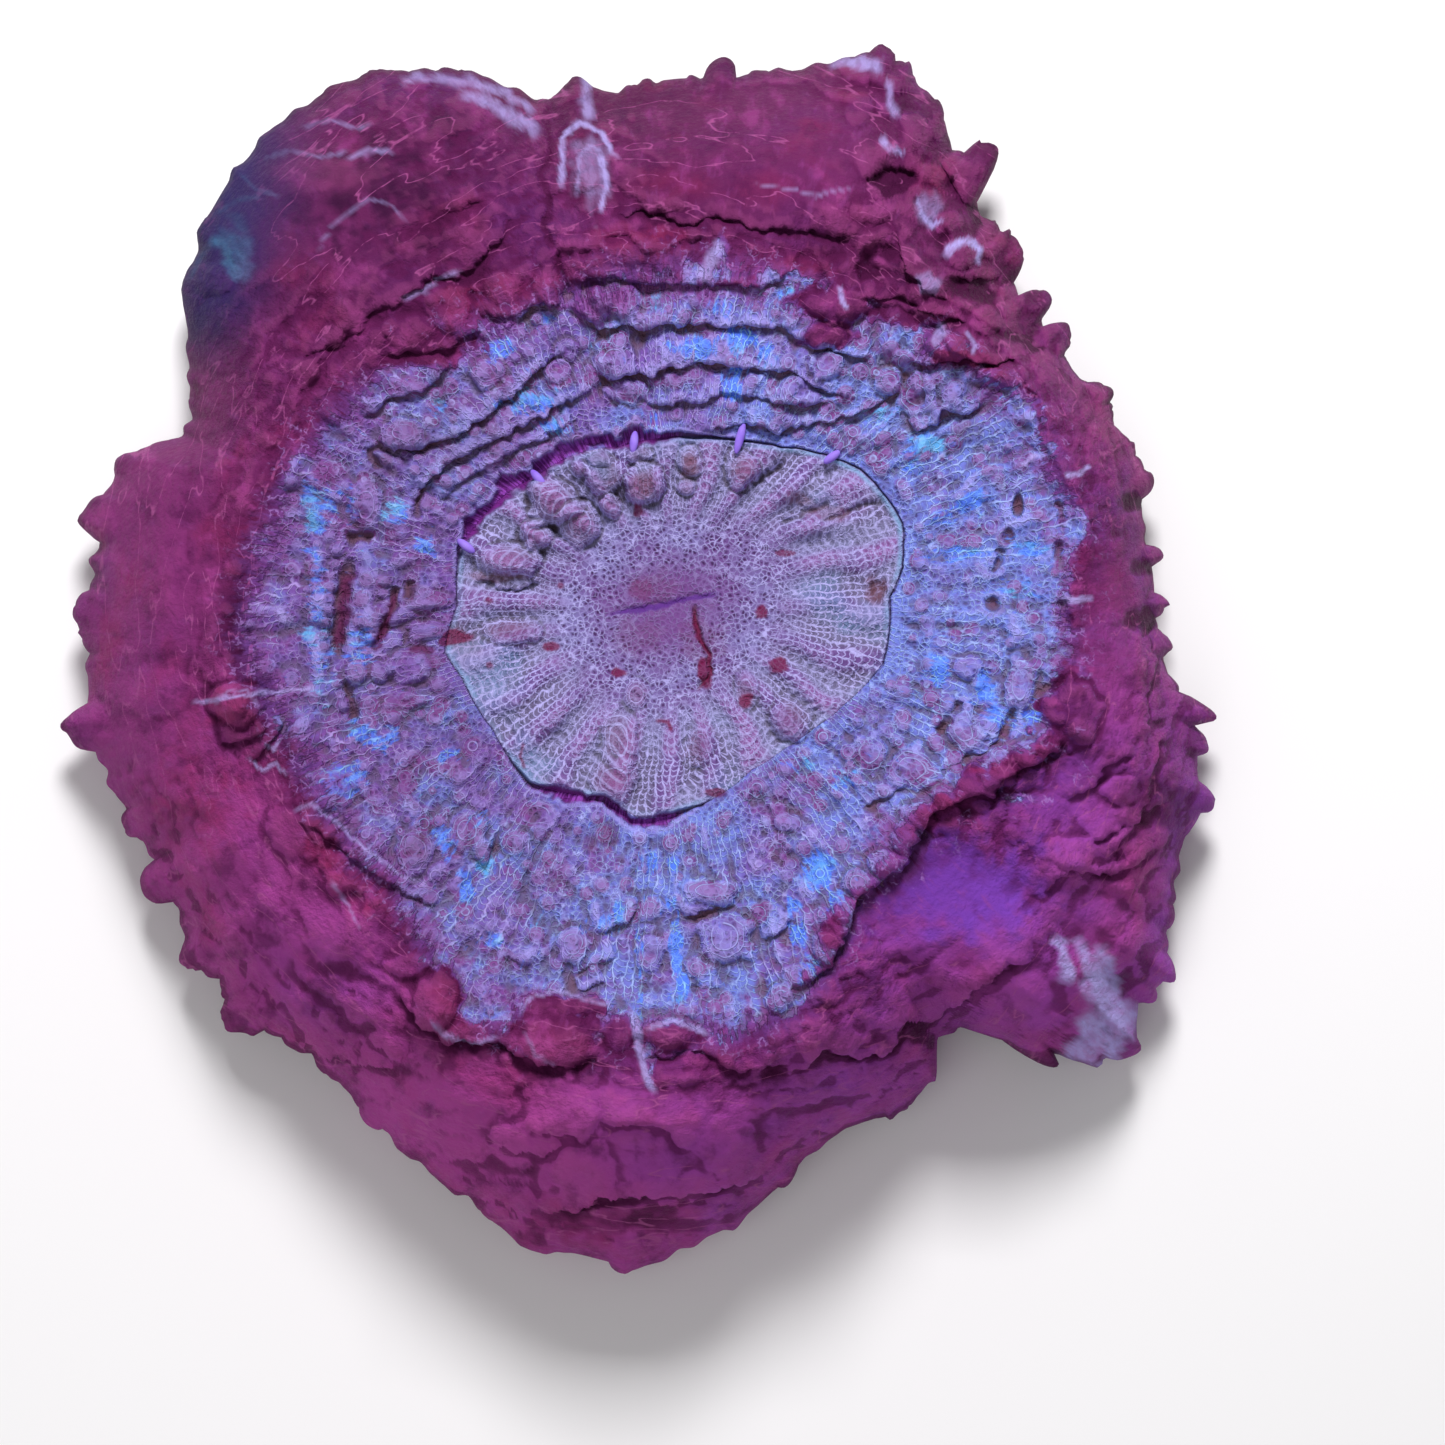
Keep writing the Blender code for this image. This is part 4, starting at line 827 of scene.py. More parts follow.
def skin_marks():
    """The masks and directions that the skin's materials read, over the whole upper face."""
    angle = np.radians(DEGREES)
    from_edge = RADIUS - around(DISC_EDGE, DEGREES)
    open_share = ramp(SLIT_HALF, 0.3, 0.6)
    ridges = drawn_lines(RUST_STROKES)
    return {
        "outside": (RADIUS - around(RING_EDGE, DEGREES) + around(BORDER_SHIFT, DEGREES) + 3.5 * ridges
                    + 9.0 * spread_spots(MANTLE_BLOBS, 0.8) - 8.0 * spread_spots(RING_BLOBS, 0.8)),
        "flow": np.stack([np.cos(angle), np.sin(angle), RADIUS / FLOW_RADIUS], axis=-1),
        "section": SECTION,
        # Depth below the skin round each place, at two sizes: the materials paint shade into hollows and
        # folds from it, and highlights onto ridges
        "hollow": below_skin((1, 2, 3), (1, 2, 4)),
        "fold": below_skin((3, 5, 7), (4, 7, 11)),
        "blue": spread_spots([(x, y, BLUE_SPREAD * across, BLUE_SPREAD * up, strength)
                              for x, y, across, up, strength in BLUE_SPOTS], 1.1),
        "pale": np.maximum(spread_spots(PALE_SPOTS, 0.8), drawn_lines(PALE_STROKES)),
        "red": np.maximum(spread_spots(RED_SPOTS, 0.4), drawn_lines(RED_STROKES)),
        # Brown flesh, and painted shade in pits and crevices
        "brown": spread_spots(BROWN_AND_SHADE_SPOTS, 0.7),
        "azure": around(AZURE, DEGREES),
        "violet": np.maximum(around(VIOLET, DEGREES), spread_spots(VIOLET_SPOTS, 1.2, 0.5)),
        # Painted shade in pits and hollows, under overhangs, on the crest and over the mantle's far side
        "dusk": painted_shade(),
        "rust": np.maximum(spread_spots(RUST_SPOTS, 1.2), ridges),
        # Painted light: the mantle's near side, which faces away from the lamp, is painted brighter
        "bright": around(NEAR_SIDE_LIGHT, DEGREES) * ramp(SECTION, 2.0, 2.5),
        "teal": ramp(-PLANE_X, 40.0, 54.0) * ramp(PLANE_Y, 26.0, 38.0) * ramp(SECTION, 2.42, 2.86),
        "smooth": SMOOTH,
        "vesicle": VESICLES,
        "gap": np.exp(-(FROM_GAP**4)) * open_share,
        # Painted shade along the closed part of the slit
        "thread": np.exp(-(FROM_GAP**2)) * (1 - open_share) * around(SLIT_SHADE, DEGREES),
        "mouth": drawn_lines(MOUTH_LINES),
        "margin": ramp(from_edge, -1.1, -0.35) * ramp(-from_edge, 0.0, 0.3) * around(MARGIN, DEGREES),
        "rib": RIBS,
        "arch": 0.5 + 0.5 * ARCHES,
    }


MARKS = skin_marks()


def marks_with_edge(span, hidden, every):
    """The marks of some rows of the skin, carried on over the hidden rows that close the piece."""
    chosen = {}
    for mark, values in MARKS.items():
        shown = values[span, ::every]
        closing = np.repeat(shown[-1:], hidden, axis=0)
        if mark in ("pale", "dusk", "teal"):
            closing *= np.linspace(0.6, 0.0, hidden)[:, None]
        chosen[mark] = np.concatenate([shown, closing])
    return chosen


def seam_mark(rows, seam_row):
    """Normals for a piece of the given number of rows: the skin's own where the ring meets the mantle."""
    normals = np.zeros((rows, STEPS, 3))
    normals[seam_row] = seam_normals(MANTLE_SPAN.start)
    return normals


# Stony base.
# The lower end of the skeleton that the flesh grew on: pale limestone with upright ribs, cut off flat.
# It is hidden in the photograph, and joins the underside of the flesh.
STONE_STEPS = 480
STONE_RIBS = 48
STONE_SINK = 3.0
# 3 is the middle of the hidden top, 4 the top's edge, 5 the cut's edge, 6 its middle
STONE_ROWS = (3.0, 4.0, 4.15, 4.3, 4.5, 4.7, 4.85, 5.0, 6.0)


def stone_grid():
    """Rows of places on the stone, in mm."""
    degrees, section = np.meshgrid(np.arange(STONE_STEPS) * 360 / STONE_STEPS, STONE_ROWS)
    angle = np.radians(degrees)
    down = np.clip(section - 4, 0, 1)
    shut = np.clip(np.where(section < 4, 4 - section, section - 5), 0, 1)
    ribs = 1 + 0.012 * np.cos(STONE_RIBS * angle) * (shut < 0.01)
    radius = (STONE_TOP_RADIUS + (FOOT_RADIUS - STONE_TOP_RADIUS) * down**0.6) * ribs * (1 - shut)
    radius *= 1 + 0.01 * np.sin(7 * angle) * np.sin(math.pi * down)
    height = (STONE_TOP + STONE_SINK) * (1 - down)
    return np.stack([radius * np.cos(angle), radius * np.sin(angle), height], axis=-1)


stone = closed_piece("stony_base", stone_grid(), {}, capped=True)


def linear(red, green, blue):
    """An sRGB colour of 0 to 255 as a linear colour with full alpha."""
    return (*(c / 12.92 if c <= 0.04045 else ((c + 0.055) / 1.055) ** 2.4
              for c in (red / 255, green / 255, blue / 255)), 1.0)


class Wiring:
    """Adds nodes to a tree and links them by socket name."""

    def __init__(self, tree):
        self.tree = tree

    def add(self, kind, settings=None, **values):
        """A new node with its settings and, by socket name, its values."""
        node = self.tree.nodes.new(kind)
        for label, value in (settings or {}).items():
            setattr(node, label, value)
        for label, value in values.items():
            self.put(node.inputs[label.replace("_", " ")], value)
        return node

    def put(self, socket, value):
        """Links a socket to another one, or sets it."""
        if isinstance(value, bpy.types.NodeSocket):
            self.tree.links.new(value, socket)
        else:
            socket.default_value = value

    def maths(self, operation, *values):
        """The result of an operation on one or two values."""
        node = self.add("ShaderNodeMath", {"operation": operation})
        for socket, value in zip(node.inputs, values):
            self.put(socket, value)
        return node.outputs[0]

    def vector(self, operation, *values, **named):
        """The result of an operation on vectors."""
        node = self.add("ShaderNodeVectorMath", {"operation": operation}, **named)
        for socket, value in zip(node.inputs, values):
            self.put(socket, value)
        return node.outputs["Vector"]

    def plus(self, first, second):
        return self.maths("ADD", first, second)

    def most(self, first, second):
        return self.maths("MAXIMUM", first, second)

    def rest(self, share):
        """What a share leaves of 1."""
        return self.maths("SUBTRACT", 1.0, share)

    def times(self, *values):
        result = values[0]
        for value in values[1:]:
            result = self.maths("MULTIPLY", result, value)
        return result

    def swing(self, noise, reach):
        """Noise of 0 to 1 as a value that swings about 0."""
        return self.times(self.maths("SUBTRACT", noise, 0.5), reach)

    def hairs(self, noise, width):
        """Thin lines along the middle level of a noise."""
        return self.span(self.maths("ABSOLUTE", self.maths("SUBTRACT", noise, 0.5)), width, 0.0)

    def mix(self, share, first, second):
        """The first colour at a share of 0, the second at 1."""
        node = self.add("ShaderNodeMix", {"data_type": "RGBA"}, Factor=share, A=first, B=second)
        return node.outputs["Result"]

    def over(self, tone, colour, *shares):
        """A tone with a colour laid over it, by the product of some shares."""
        return self.mix(self.times(*shares), tone, colour)

    def span(self, value, low, high, start=0.0, end=1.0):
        """A smooth step from start to end while the value goes from low to high."""
        node = self.add("ShaderNodeMapRange", {"interpolation_type": "SMOOTHSTEP"}, Value=value,
                        From_Min=low, From_Max=high, To_Min=start, To_Max=end)
        return node.outputs["Result"]

    def mark(self, name):
        return self.add("ShaderNodeAttribute", {"attribute_name": name}).outputs["Fac"]

    def marks(self, *names):
        """Marks by the names of the sockets that they feed."""
        return {name: self.mark(name.lower()) for name in names}

    def noise(self, place, scale, detail=3.0, roughness=0.55):
        node = self.add("ShaderNodeTexNoise", Vector=place, Scale=scale, Detail=detail, Roughness=roughness)
        return node.outputs["Fac"]

    def stretched(self, vector, scale, detail=3.0, roughness=0.55):
        """Noise with its own scale along each axis."""
        return self.noise(self.vector("MULTIPLY", vector, scale), 1.0, detail, roughness)

    def use(self, group, **values):
        """Places a group in a material with its own values."""
        return self.add("ShaderNodeGroup", {"node_tree": group}, **values)

    def shaded(self, tone, hollow, fold, dips, depths, ridges, share):
        """A tone with painted fold shading over it: the sRGB colours of the painted shade in hollows and
        folds, and of the painted highlight on ridges.
        """
        node = self.use(FOLDS, Colour=tone, Hollow=hollow, Fold=fold, Dip_Colour=linear(*dips),
                        Deep_Colour=linear(*depths), Ridge_Colour=linear(*ridges), Ridge=share)
        return node.outputs["Colour"]

    def bumped(self, shader, height, strength, distance):
        bump = self.add("ShaderNodeBump", Strength=strength, Distance=distance, Height=height)
        self.put(shader.inputs["Normal"], bump.outputs["Normal"])


def stone_material():
    """Pale chalky limestone, stained darker in patches."""
    material = plain_material("cut_stone", (0.6, 0.52, 0.42), 0.85)
    wires = Wiring(material.node_tree)
    shader = material.node_tree.nodes["Principled BSDF"]
    place = wires.add("ShaderNodeTexCoord").outputs["Object"]
    grain = wires.noise(place, 900.0, 6.0)
    tone = wires.mix(grain, linear(150, 132, 118), linear(214, 200, 184))
    tone = wires.over(tone, linear(120, 80, 96), wires.span(wires.noise(place, 70.0), 0.5, 0.7, 0.0, 0.5))
    wires.put(shader.inputs["Base Color"], tone)
    wires.bumped(shader, grain, 0.5, 0.0004)
    return material


stone.data.materials.append(stone_material())


# Flesh colours, shared by the mantle, the ring and the disc.
# The skin is translucent over darker tissue. A net of pale lilac lines covers its middle, shade is painted
# dark and brown into its folds with painted highlights on its ridges, and blue and pale blotches shine out
# of it.
SHELL_LINES = 17.5


def new_group(name, outputs, **inputs):
    """A shader group with named sockets, its wiring, and what it is given."""
    group = bpy.data.node_groups.new(name, "ShaderNodeTree")
    for label, default in inputs.items():
        kind = {1: "NodeSocketFloat", 3: "NodeSocketVector", 4: "NodeSocketColor"}[np.size(default)]
        socket = group.interface.new_socket(label.replace("_", " "), in_out="INPUT", socket_type=kind)
        socket.default_value = default
    for label in outputs:
        kind = "NodeSocketColor" if label == "Colour" else "NodeSocketFloat"
        group.interface.new_socket(label, in_out="OUTPUT", socket_type=kind)
    wires = Wiring(group)
    return group, wires, wires.add("NodeGroupInput").outputs


def net_group():
    """A net of pale uneven lines, with dots in its cells."""
    group, wires, given = new_group("pale_net", ["Lines", "Dots"], Place=(0, 0, 0), Width=0.12, Wander=0.3)
    drift = wires.add("ShaderNodeTexNoise", Vector=given["Place"], Scale=0.8, Detail=2.0)
    push = wires.vector("SCALE", drift.outputs["Color"], Scale=given["Wander"])
    moved = wires.vector("ADD", given["Place"], push)
    walls = wires.add("ShaderNodeTexVoronoi", {"feature": "DISTANCE_TO_EDGE"}, Vector=moved, Scale=1.0)
    hearts = wires.add("ShaderNodeTexVoronoi", {"feature": "F1"}, Vector=moved, Scale=1.0)
    lines = wires.span(walls.outputs["Distance"], 0.0, given["Width"], 1.0, 0.0)
    breaks = wires.span(wires.noise(given["Place"], 0.45, 1.0), 0.36, 0.6, 0.35, 1.0)
    wires.add("NodeGroupOutput", Lines=wires.times(lines, breaks),
              Dots=wires.span(hearts.outputs["Distance"], 0.42, 0.1))
    return group


def fold_group():
    """Painted shade and highlight: darkens a colour in the hollows and folds of the skin and lightens it
    along the ridges.
    """
    group, wires, given = new_group(
        "fold_shade", ["Colour"], Colour=(0.5, 0.5, 0.5, 1), Hollow=0.0, Fold=0.0, Ridge=0.3,
        Dip_Colour=(0.1, 0.1, 0.1, 1), Deep_Colour=(0.05, 0.01, 0.03, 1), Ridge_Colour=(0.5, 0.2, 0.4, 1))
    hollow, fold = given["Hollow"], given["Fold"]
    high = wires.plus(wires.span(hollow, -0.03, -0.2, 0.0, 0.6), wires.span(fold, -0.1, -0.7, 0.0, 0.4))
    tone = wires.over(given["Colour"], given["Dip Colour"], wires.span(hollow, 0.03, 0.22, 0.0, 0.6))
    tone = wires.over(tone, given["Deep Colour"], wires.span(fold, 0.3, 1.3, 0.0, 0.85))
    wires.add("NodeGroupOutput", Colour=wires.over(tone, given["Ridge Colour"], high, given["Ridge"]))
    return group


def ladder_group():
    """Fine lines that run outwards from the mouth, with rungs between them."""
    group, wires, given = new_group("ladder_lines", ["Lines"], Flow=(0, 0, 0), Place=(0, 0, 0), Rays=250.0,
                                    Rungs=190.0)
    turned = wires.add("ShaderNodeSeparateXYZ", Vector=given["Flow"]).outputs
    drift = wires.times(wires.noise(given["Place"], 330.0, 2.0), 16.0)
    angle = wires.maths("ARCTAN2", turned["Y"], turned["X"])
    rays = wires.maths("SINE", wires.plus(drift, wires.times(angle, given["Rays"])))
    outward = wires.plus(drift, wires.times(turned["Z"], given["Rungs"]))
    rungs = wires.maths("SINE", wires.plus(wires.times(rays, 1.2), outward))
    wires.add("NodeGroupOutput",
              Lines=wires.most(wires.span(rays, 0.5, 1.0), wires.span(rungs, 0.55, 1.0, 0.0, 0.8)))
    return group


def shell_group():
    """Rings drawn round each dome, like growth lines."""
    group, wires, given = new_group("shell_lines", ["Lines"], Dome=0.0)
    rings = wires.maths("SINE", wires.times(given["Dome"], SHELL_LINES))
    wires.add("NodeGroupOutput",
              Lines=wires.times(wires.span(rings, 0.55, 1.0), wires.span(given["Dome"], 0.04, 0.2)))
    return group


NET, FOLDS, LADDER, SHELLS = net_group(), fold_group(), ladder_group(), shell_group()


def ring_group():
    """Colour and relief of the ring's skin: violet to blue, under a net of lilac lines."""
    group, wires, given = new_group("ring_skin", ["Colour", "Height"], Flow=(0, 0, 0), Place=(0, 0, 0),
                                    Azure=0.5, Hollow=0.0, Fold=0.0, Blue=0.0, Vesicle=0.0, Brown=0.0)
    flow, place, dome = given["Flow"], given["Place"], given["Vesicle"]
    broad = wires.noise(place, 170.0)
    small = wires.noise(place, 520.0)
    azure = wires.plus(given["Azure"], wires.swing(broad, 2.4))
    tone = wires.mix(wires.span(azure, 0.0, 1.0), linear(120, 80, 162), linear(112, 126, 216))
    tone = wires.over(tone, linear(128, 68, 138), wires.span(wires.noise(place, 250.0, 2.0), 0.52, 0.64),
                      wires.span(azure, 1.2, 0.2, 0.2, 0.8))
    tone = wires.over(tone, linear(84, 70, 124), wires.span(small, 0.48, 0.7, 0.0, 0.6))
    tone = wires.over(tone, linear(124, 62, 128), wires.span(dome, 0.05, 0.6),
                      wires.span(broad, 0.34, 0.56), 0.9)
    fine = wires.use(NET, Place=wires.vector("MULTIPLY", place, (1350.0, 1350.0, 500.0)), Width=0.17,
                     Wander=0.9).outputs
    ladder = wires.use(LADDER, Flow=flow, Place=place, Rays=250.0, Rungs=190.0).outputs["Lines"]
    choice = wires.span(wires.noise(place, 140.0, 2.0), 0.45, 0.55)
    lines = wires.plus(wires.times(fine["Lines"], wires.rest(choice)), wires.times(ladder, choice))
    lines = wires.times(lines, wires.span(small, 0.36, 0.66, 1.0, 0.35),
                        wires.span(dome, 0.9, 0.3, 0.4, 1.0))
    shells = wires.use(SHELLS, Dome=dome).outputs["Lines"]
    lines = wires.most(lines, wires.times(shells, wires.span(small, 0.4, 0.6, 0.2, 0.7)))
    tone = wires.over(tone, linear(72, 48, 100), fine["Dots"], 0.5)
    line_tone = wires.mix(wires.span(azure, 0.0, 0.9), linear(186, 160, 232), linear(172, 196, 255))
    tone = wires.over(tone, line_tone, lines, 0.85)
    # Painted shade in the hollows and folds, and painted highlight on the ridges
    tone = wires.shaded(tone, given["Hollow"], given["Fold"], dips=(92, 78, 98), depths=(112, 78, 92),
                        ridges=(176, 168, 246), share=wires.span(dome, 0.1, 0.6, 0.6, 0.3))
    # Brown tint from the brown mark: brown flesh, and painted shade in the pits and crevices
    tone = wires.over(tone, linear(96, 56, 70), given["Brown"], 0.7)
    glow = wires.mix(wires.span(broad, 0.52, 0.64), linear(84, 128, 250), linear(96, 176, 238))
    glow = wires.over(glow, linear(156, 214, 255), lines, 0.9)
    torn = wires.plus(given["Blue"], wires.swing(wires.stretched(flow, (60.0, 60.0, 14.0), 4.0, 0.6), 2.6))
    tone = wires.over(tone, glow, wires.span(torn, 0.25, 0.9, 0.0, 0.9))
    wires.add("NodeGroupOutput", Colour=tone,
              Height=wires.maths("SUBTRACT", lines, wires.times(fine["Dots"], 0.6)))
    return group


RING_SKIN = ring_group()


def flesh_base(name, roughness):
    """A wet-flesh material with its shader and the two vectors that its patterns follow."""
    material = plain_material(name, (0.2, 0.04, 0.15), roughness)
    wires = Wiring(material.node_tree)
    shader = material.node_tree.nodes["Principled BSDF"]
    shader.inputs["Specular IOR Level"].default_value = 0.02
    place = wires.add("ShaderNodeTexCoord").outputs["Object"]
    flow = wires.add("ShaderNodeAttribute", {"attribute_name": "flow"}).outputs["Vector"]
    return material, wires, shader, place, flow


# Mantle.
# The wide fleshy skirt of the polyp: thick magenta tissue that hangs from the ring over the stone, with
# ragged flaps, small lumps and papillae at its edge. It is one skin with the ring.

# 3 is the mantle's rim, 4 where it meets the stone, 5 the hidden sheet at its crest
UNDER_ROWS = np.concatenate([(3.02, 3.045, 3.08, 3.14, 3.24), np.linspace(3.36, 4.0, 7), (5.0,)])
WRINKLES, WRINKLE_HEIGHT = 60, 1.6


def mantle_underside(rim, crest):
    """Rows from the mantle's rim under it to the stone, and up to the hidden sheet."""
    angle = np.radians(DEGREES[0])
    ways = np.stack([np.cos(angle), np.sin(angle)], axis=-1)
    rows = np.empty((len(UNDER_ROWS), STEPS, 3))
    for index, level in enumerate(UNDER_ROWS):
        inward = min(level - 3, 1)
        dropped = np.interp(level, (3.0, 3.06, 3.2, 4.0), (0.0, 0.55, 1.0, 1.0))
        rising = np.clip((level - 3.2) / 0.8, 0, 1)
        wrinkle = WRINKLE_HEIGHT * np.sin(WRINKLES * angle) * inward * (1 - inward)
        under = (rim[:, 2] - LIP_THICKNESS * dropped) * (1 - rising) + STONE_TOP * rising + wrinkle
        closing = max(level - 4, 0)
        flat = rim[:, :2] * (1 - inward) + ways * STONE_TOP_RADIUS * inward
        rows[index, :, :2] = flat * (1 - closing) + crest[:, :2] * closing
        rows[index, :, 2] = under * (1 - closing) + crest[:, 2] * closing
    return rows


under_mantle = mantle_underside(SKIN[-1], sheet_below((2.0,))[0])
mantle_marks = marks_with_edge(MANTLE_SPAN, len(UNDER_ROWS), 1)
under_radius = np.hypot(under_mantle[..., 0], under_mantle[..., 1])
mantle_marks["flow"][-len(UNDER_ROWS):, :, 2] = under_radius / FLOW_RADIUS
mantle_marks["section"][-len(UNDER_ROWS):] = UNDER_ROWS[:, None]
mantle_marks["seam_normal"] = seam_mark(len(MANTLE_ROWS) + len(UNDER_ROWS), 0)
mantle = closed_piece("mantle", np.concatenate([SKIN[MANTLE_SPAN], under_mantle]), mantle_marks,
                      capped=False)


def skin_material():
    """Magenta flesh, painted duller in its folds as shade, that turns into the ring's net of lines along a
    combed border.
    """
    material, wires, shader, place, flow = flesh_base("skin", 0.52)
    mottle = wires.noise(place, 210.0, 8.0, 0.7)
    broad = wires.noise(place, 34.0)
    streaks = wires.stretched(flow, (46.0, 46.0, 9.0), 4.0)
    blotches = wires.stretched(flow, (15.0, 15.0, 6.0), 5.0, 0.6)
    violet = wires.plus(wires.mark("violet"), wires.swing(broad, 1.1))
    violet_share, reddish = wires.span(violet, 0.0, 1.0), wires.span(violet, 0.9, 0.2)
    rough = wires.span(wires.mark("smooth"), 0.0, 0.9, 1.0, 0.4)
    tone = wires.mix(violet_share, linear(108, 38, 88), linear(112, 56, 160))
    # Painted light: brighter by the bright mark on the mantle's near side, which faces away from the lamp
    lit = wires.mix(violet_share, linear(182, 74, 160), linear(128, 68, 186))
    tone = wires.over(tone, lit, wires.mark("bright"), 0.9)
    tone = wires.over(tone, linear(100, 34, 92), rough, wires.span(mottle, 0.42, 0.66, 0.0, 0.35))
    reds = wires.times(wires.span(wires.noise(place, 80.0, 5.0), 0.52, 0.72),
                       wires.span(violet, 0.75, 0.2), 0.35)
    rust = wires.times(wires.mark("rust"), wires.span(mottle, 0.36, 0.6, 1.0, 0.55))
    tone = wires.over(tone, linear(156, 42, 84), wires.most(reds, rust))
    tone = wires.over(tone, linear(150, 70, 146), wires.span(streaks, 0.54, 0.74, 0.0, 0.4))
    tone = wires.over(tone, linear(172, 70, 148), wires.span(blotches, 0.48, 0.3, 0.0, 0.6), reddish)
    tone = wires.over(tone, linear(84, 26, 76), wires.span(blotches, 0.5, 0.68, 0.0, 0.6), reddish)
    # Painted shade from the dusk mark
    tone = wires.over(tone, linear(54, 17, 52), wires.mark("dusk"), 0.95)
    # Painted shade in hollows and folds, and painted highlight on ridges
    flesh = wires.shaded(tone, wires.mark("hollow"), wires.mark("fold"), dips=(90, 26, 74),
                         depths=(70, 20, 58), ridges=(178, 84, 142), share=0.2)
    threads = wires.hairs(wires.stretched(flow, (4.5, 4.5, 7.0), 3.0, 0.45), 0.012)
    flesh = wires.over(flesh, linear(176, 88, 150), threads, wires.span(streaks, 0.36, 0.56),
                       wires.span(violet, 0.9, 0.3), 0.6)
    flesh = wires.over(flesh, linear(48, 42, 96), wires.mark("teal"), wires.span(broad, 0.35, 0.6, 0.9, 0.7))
    combs = wires.stretched(flow, (64.0, 64.0, 7.0), 4.0, 0.6)
    ragged = wires.plus(wires.swing(combs, 10.0), wires.swing(mottle, 11.0))
    beyond = wires.plus(wires.mark("outside"), ragged)
    flesh = wires.over(flesh, linear(134, 88, 182), wires.span(beyond, 4.0, 0.2),
                       wires.span(combs, 0.4, 0.6, 0.25, 0.95), 0.6)
    curls = wires.hairs(wires.noise(place, 300.0, 3.0, 0.6), 0.03)
    flesh = wires.over(flesh, linear(188, 142, 222), curls, wires.span(beyond, 6.0, 0.5),
                       wires.span(streaks, 0.42, 0.56), 0.55)
    skin = wires.use(RING_SKIN, Flow=flow, Place=place,
                     **wires.marks("Azure", "Hollow", "Fold", "Blue", "Vesicle", "Brown")).outputs
    inner = wires.over(skin["Colour"], linear(132, 66, 140), wires.span(beyond, -5.0, 0.0),
                       wires.span(mottle, 0.4, 0.6, 0.25, 0.8))
    # Painted shade on the crest, from the dusk mark
    inner = wires.over(inner, linear(76, 62, 108), wires.mark("dusk"), 0.4)
    tone = wires.mix(wires.span(beyond, -0.7, 0.7), inner, flesh)
    tone = wires.over(tone, linear(98, 34, 80), wires.mark("red"), 0.9)
    pale = wires.mix(wires.mark("teal"), linear(184, 172, 240), linear(64, 100, 138))
    veins = wires.stretched(flow, (60.0, 60.0, 14.0))
    tone = wires.over(tone, pale, wires.mark("pale"), wires.span(veins, 0.34, 0.6, 0.6, 0.95))
    teeth = wires.span(wires.stretched(flow, (95.0, 95.0, 5.0), 1.0), 0.42, 0.6)
    tone = wires.over(tone, wires.mix(teeth, linear(100, 36, 118), linear(146, 70, 176)), wires.mark("gap"))
    # Painted shade along the closed part of the slit
    tone = wires.over(tone, linear(62, 52, 116), wires.mark("thread"), 0.7)
    wires.put(shader.inputs["Base Color"], tone)
    grain = wires.noise(place, 1100.0, 4.0)
    wrinkles = wires.stretched(flow, (70.0, 70.0, 40.0), 5.0, 0.65)
    share = wires.span(beyond, -0.5, 0.5)
    on_mantle = wires.times(rough, wires.plus(wires.times(wrinkles, 1.6), wires.times(mottle, 1.2)), share)
    on_ring = wires.times(skin["Height"], 0.55, wires.rest(share))
    wires.bumped(shader, wires.plus(wires.plus(on_mantle, on_ring), wires.times(grain, 0.4)), 0.75, 0.0006)
    wires.put(shader.inputs["Roughness"], wires.span(grain, 0.3, 0.7, 0.44, 0.62))
    return material


OUTER_SKIN = skin_material()
mantle.data.materials.append(OUTER_SKIN)


# Ring.
# The raised part of the skin between the disc and the mantle: rolls and crevices on the far and left sides,
# small blisters all over, and fine lines that run outwards.
HIDDEN_RING_ROWS = (2.0, 1.5, 1.0)
ring_marks = marks_with_edge(RING_SPAN, len(HIDDEN_RING_ROWS), 1)
ring_marks["seam_normal"] = seam_mark(len(RING_ROWS) + len(HIDDEN_RING_ROWS), len(RING_ROWS) - 1)
ring = closed_piece("ring", np.concatenate([SKIN[RING_SPAN], sheet_below(HIDDEN_RING_ROWS)]), ring_marks,
                    capped=False)
ring.data.materials.append(OUTER_SKIN)


# Oral disc.
# The sunken middle round the mouth's slit: thin skin over ribs of the skeleton, with stacked arches on
# each rib, dark pits near the mouth and a thin pale edge over the slit that parts it from the ring.
HIDDEN_DISC_ROWS = (1.0, 0.5, 0.0)
disc_marks = marks_with_edge(DISC_SPAN, len(HIDDEN_DISC_ROWS), 2)
disc = closed_piece("oral_disc", np.concatenate([SKIN[DISC_SPAN], sheet_below(HIDDEN_DISC_ROWS)])[:, ::2],
                    disc_marks, capped=True)


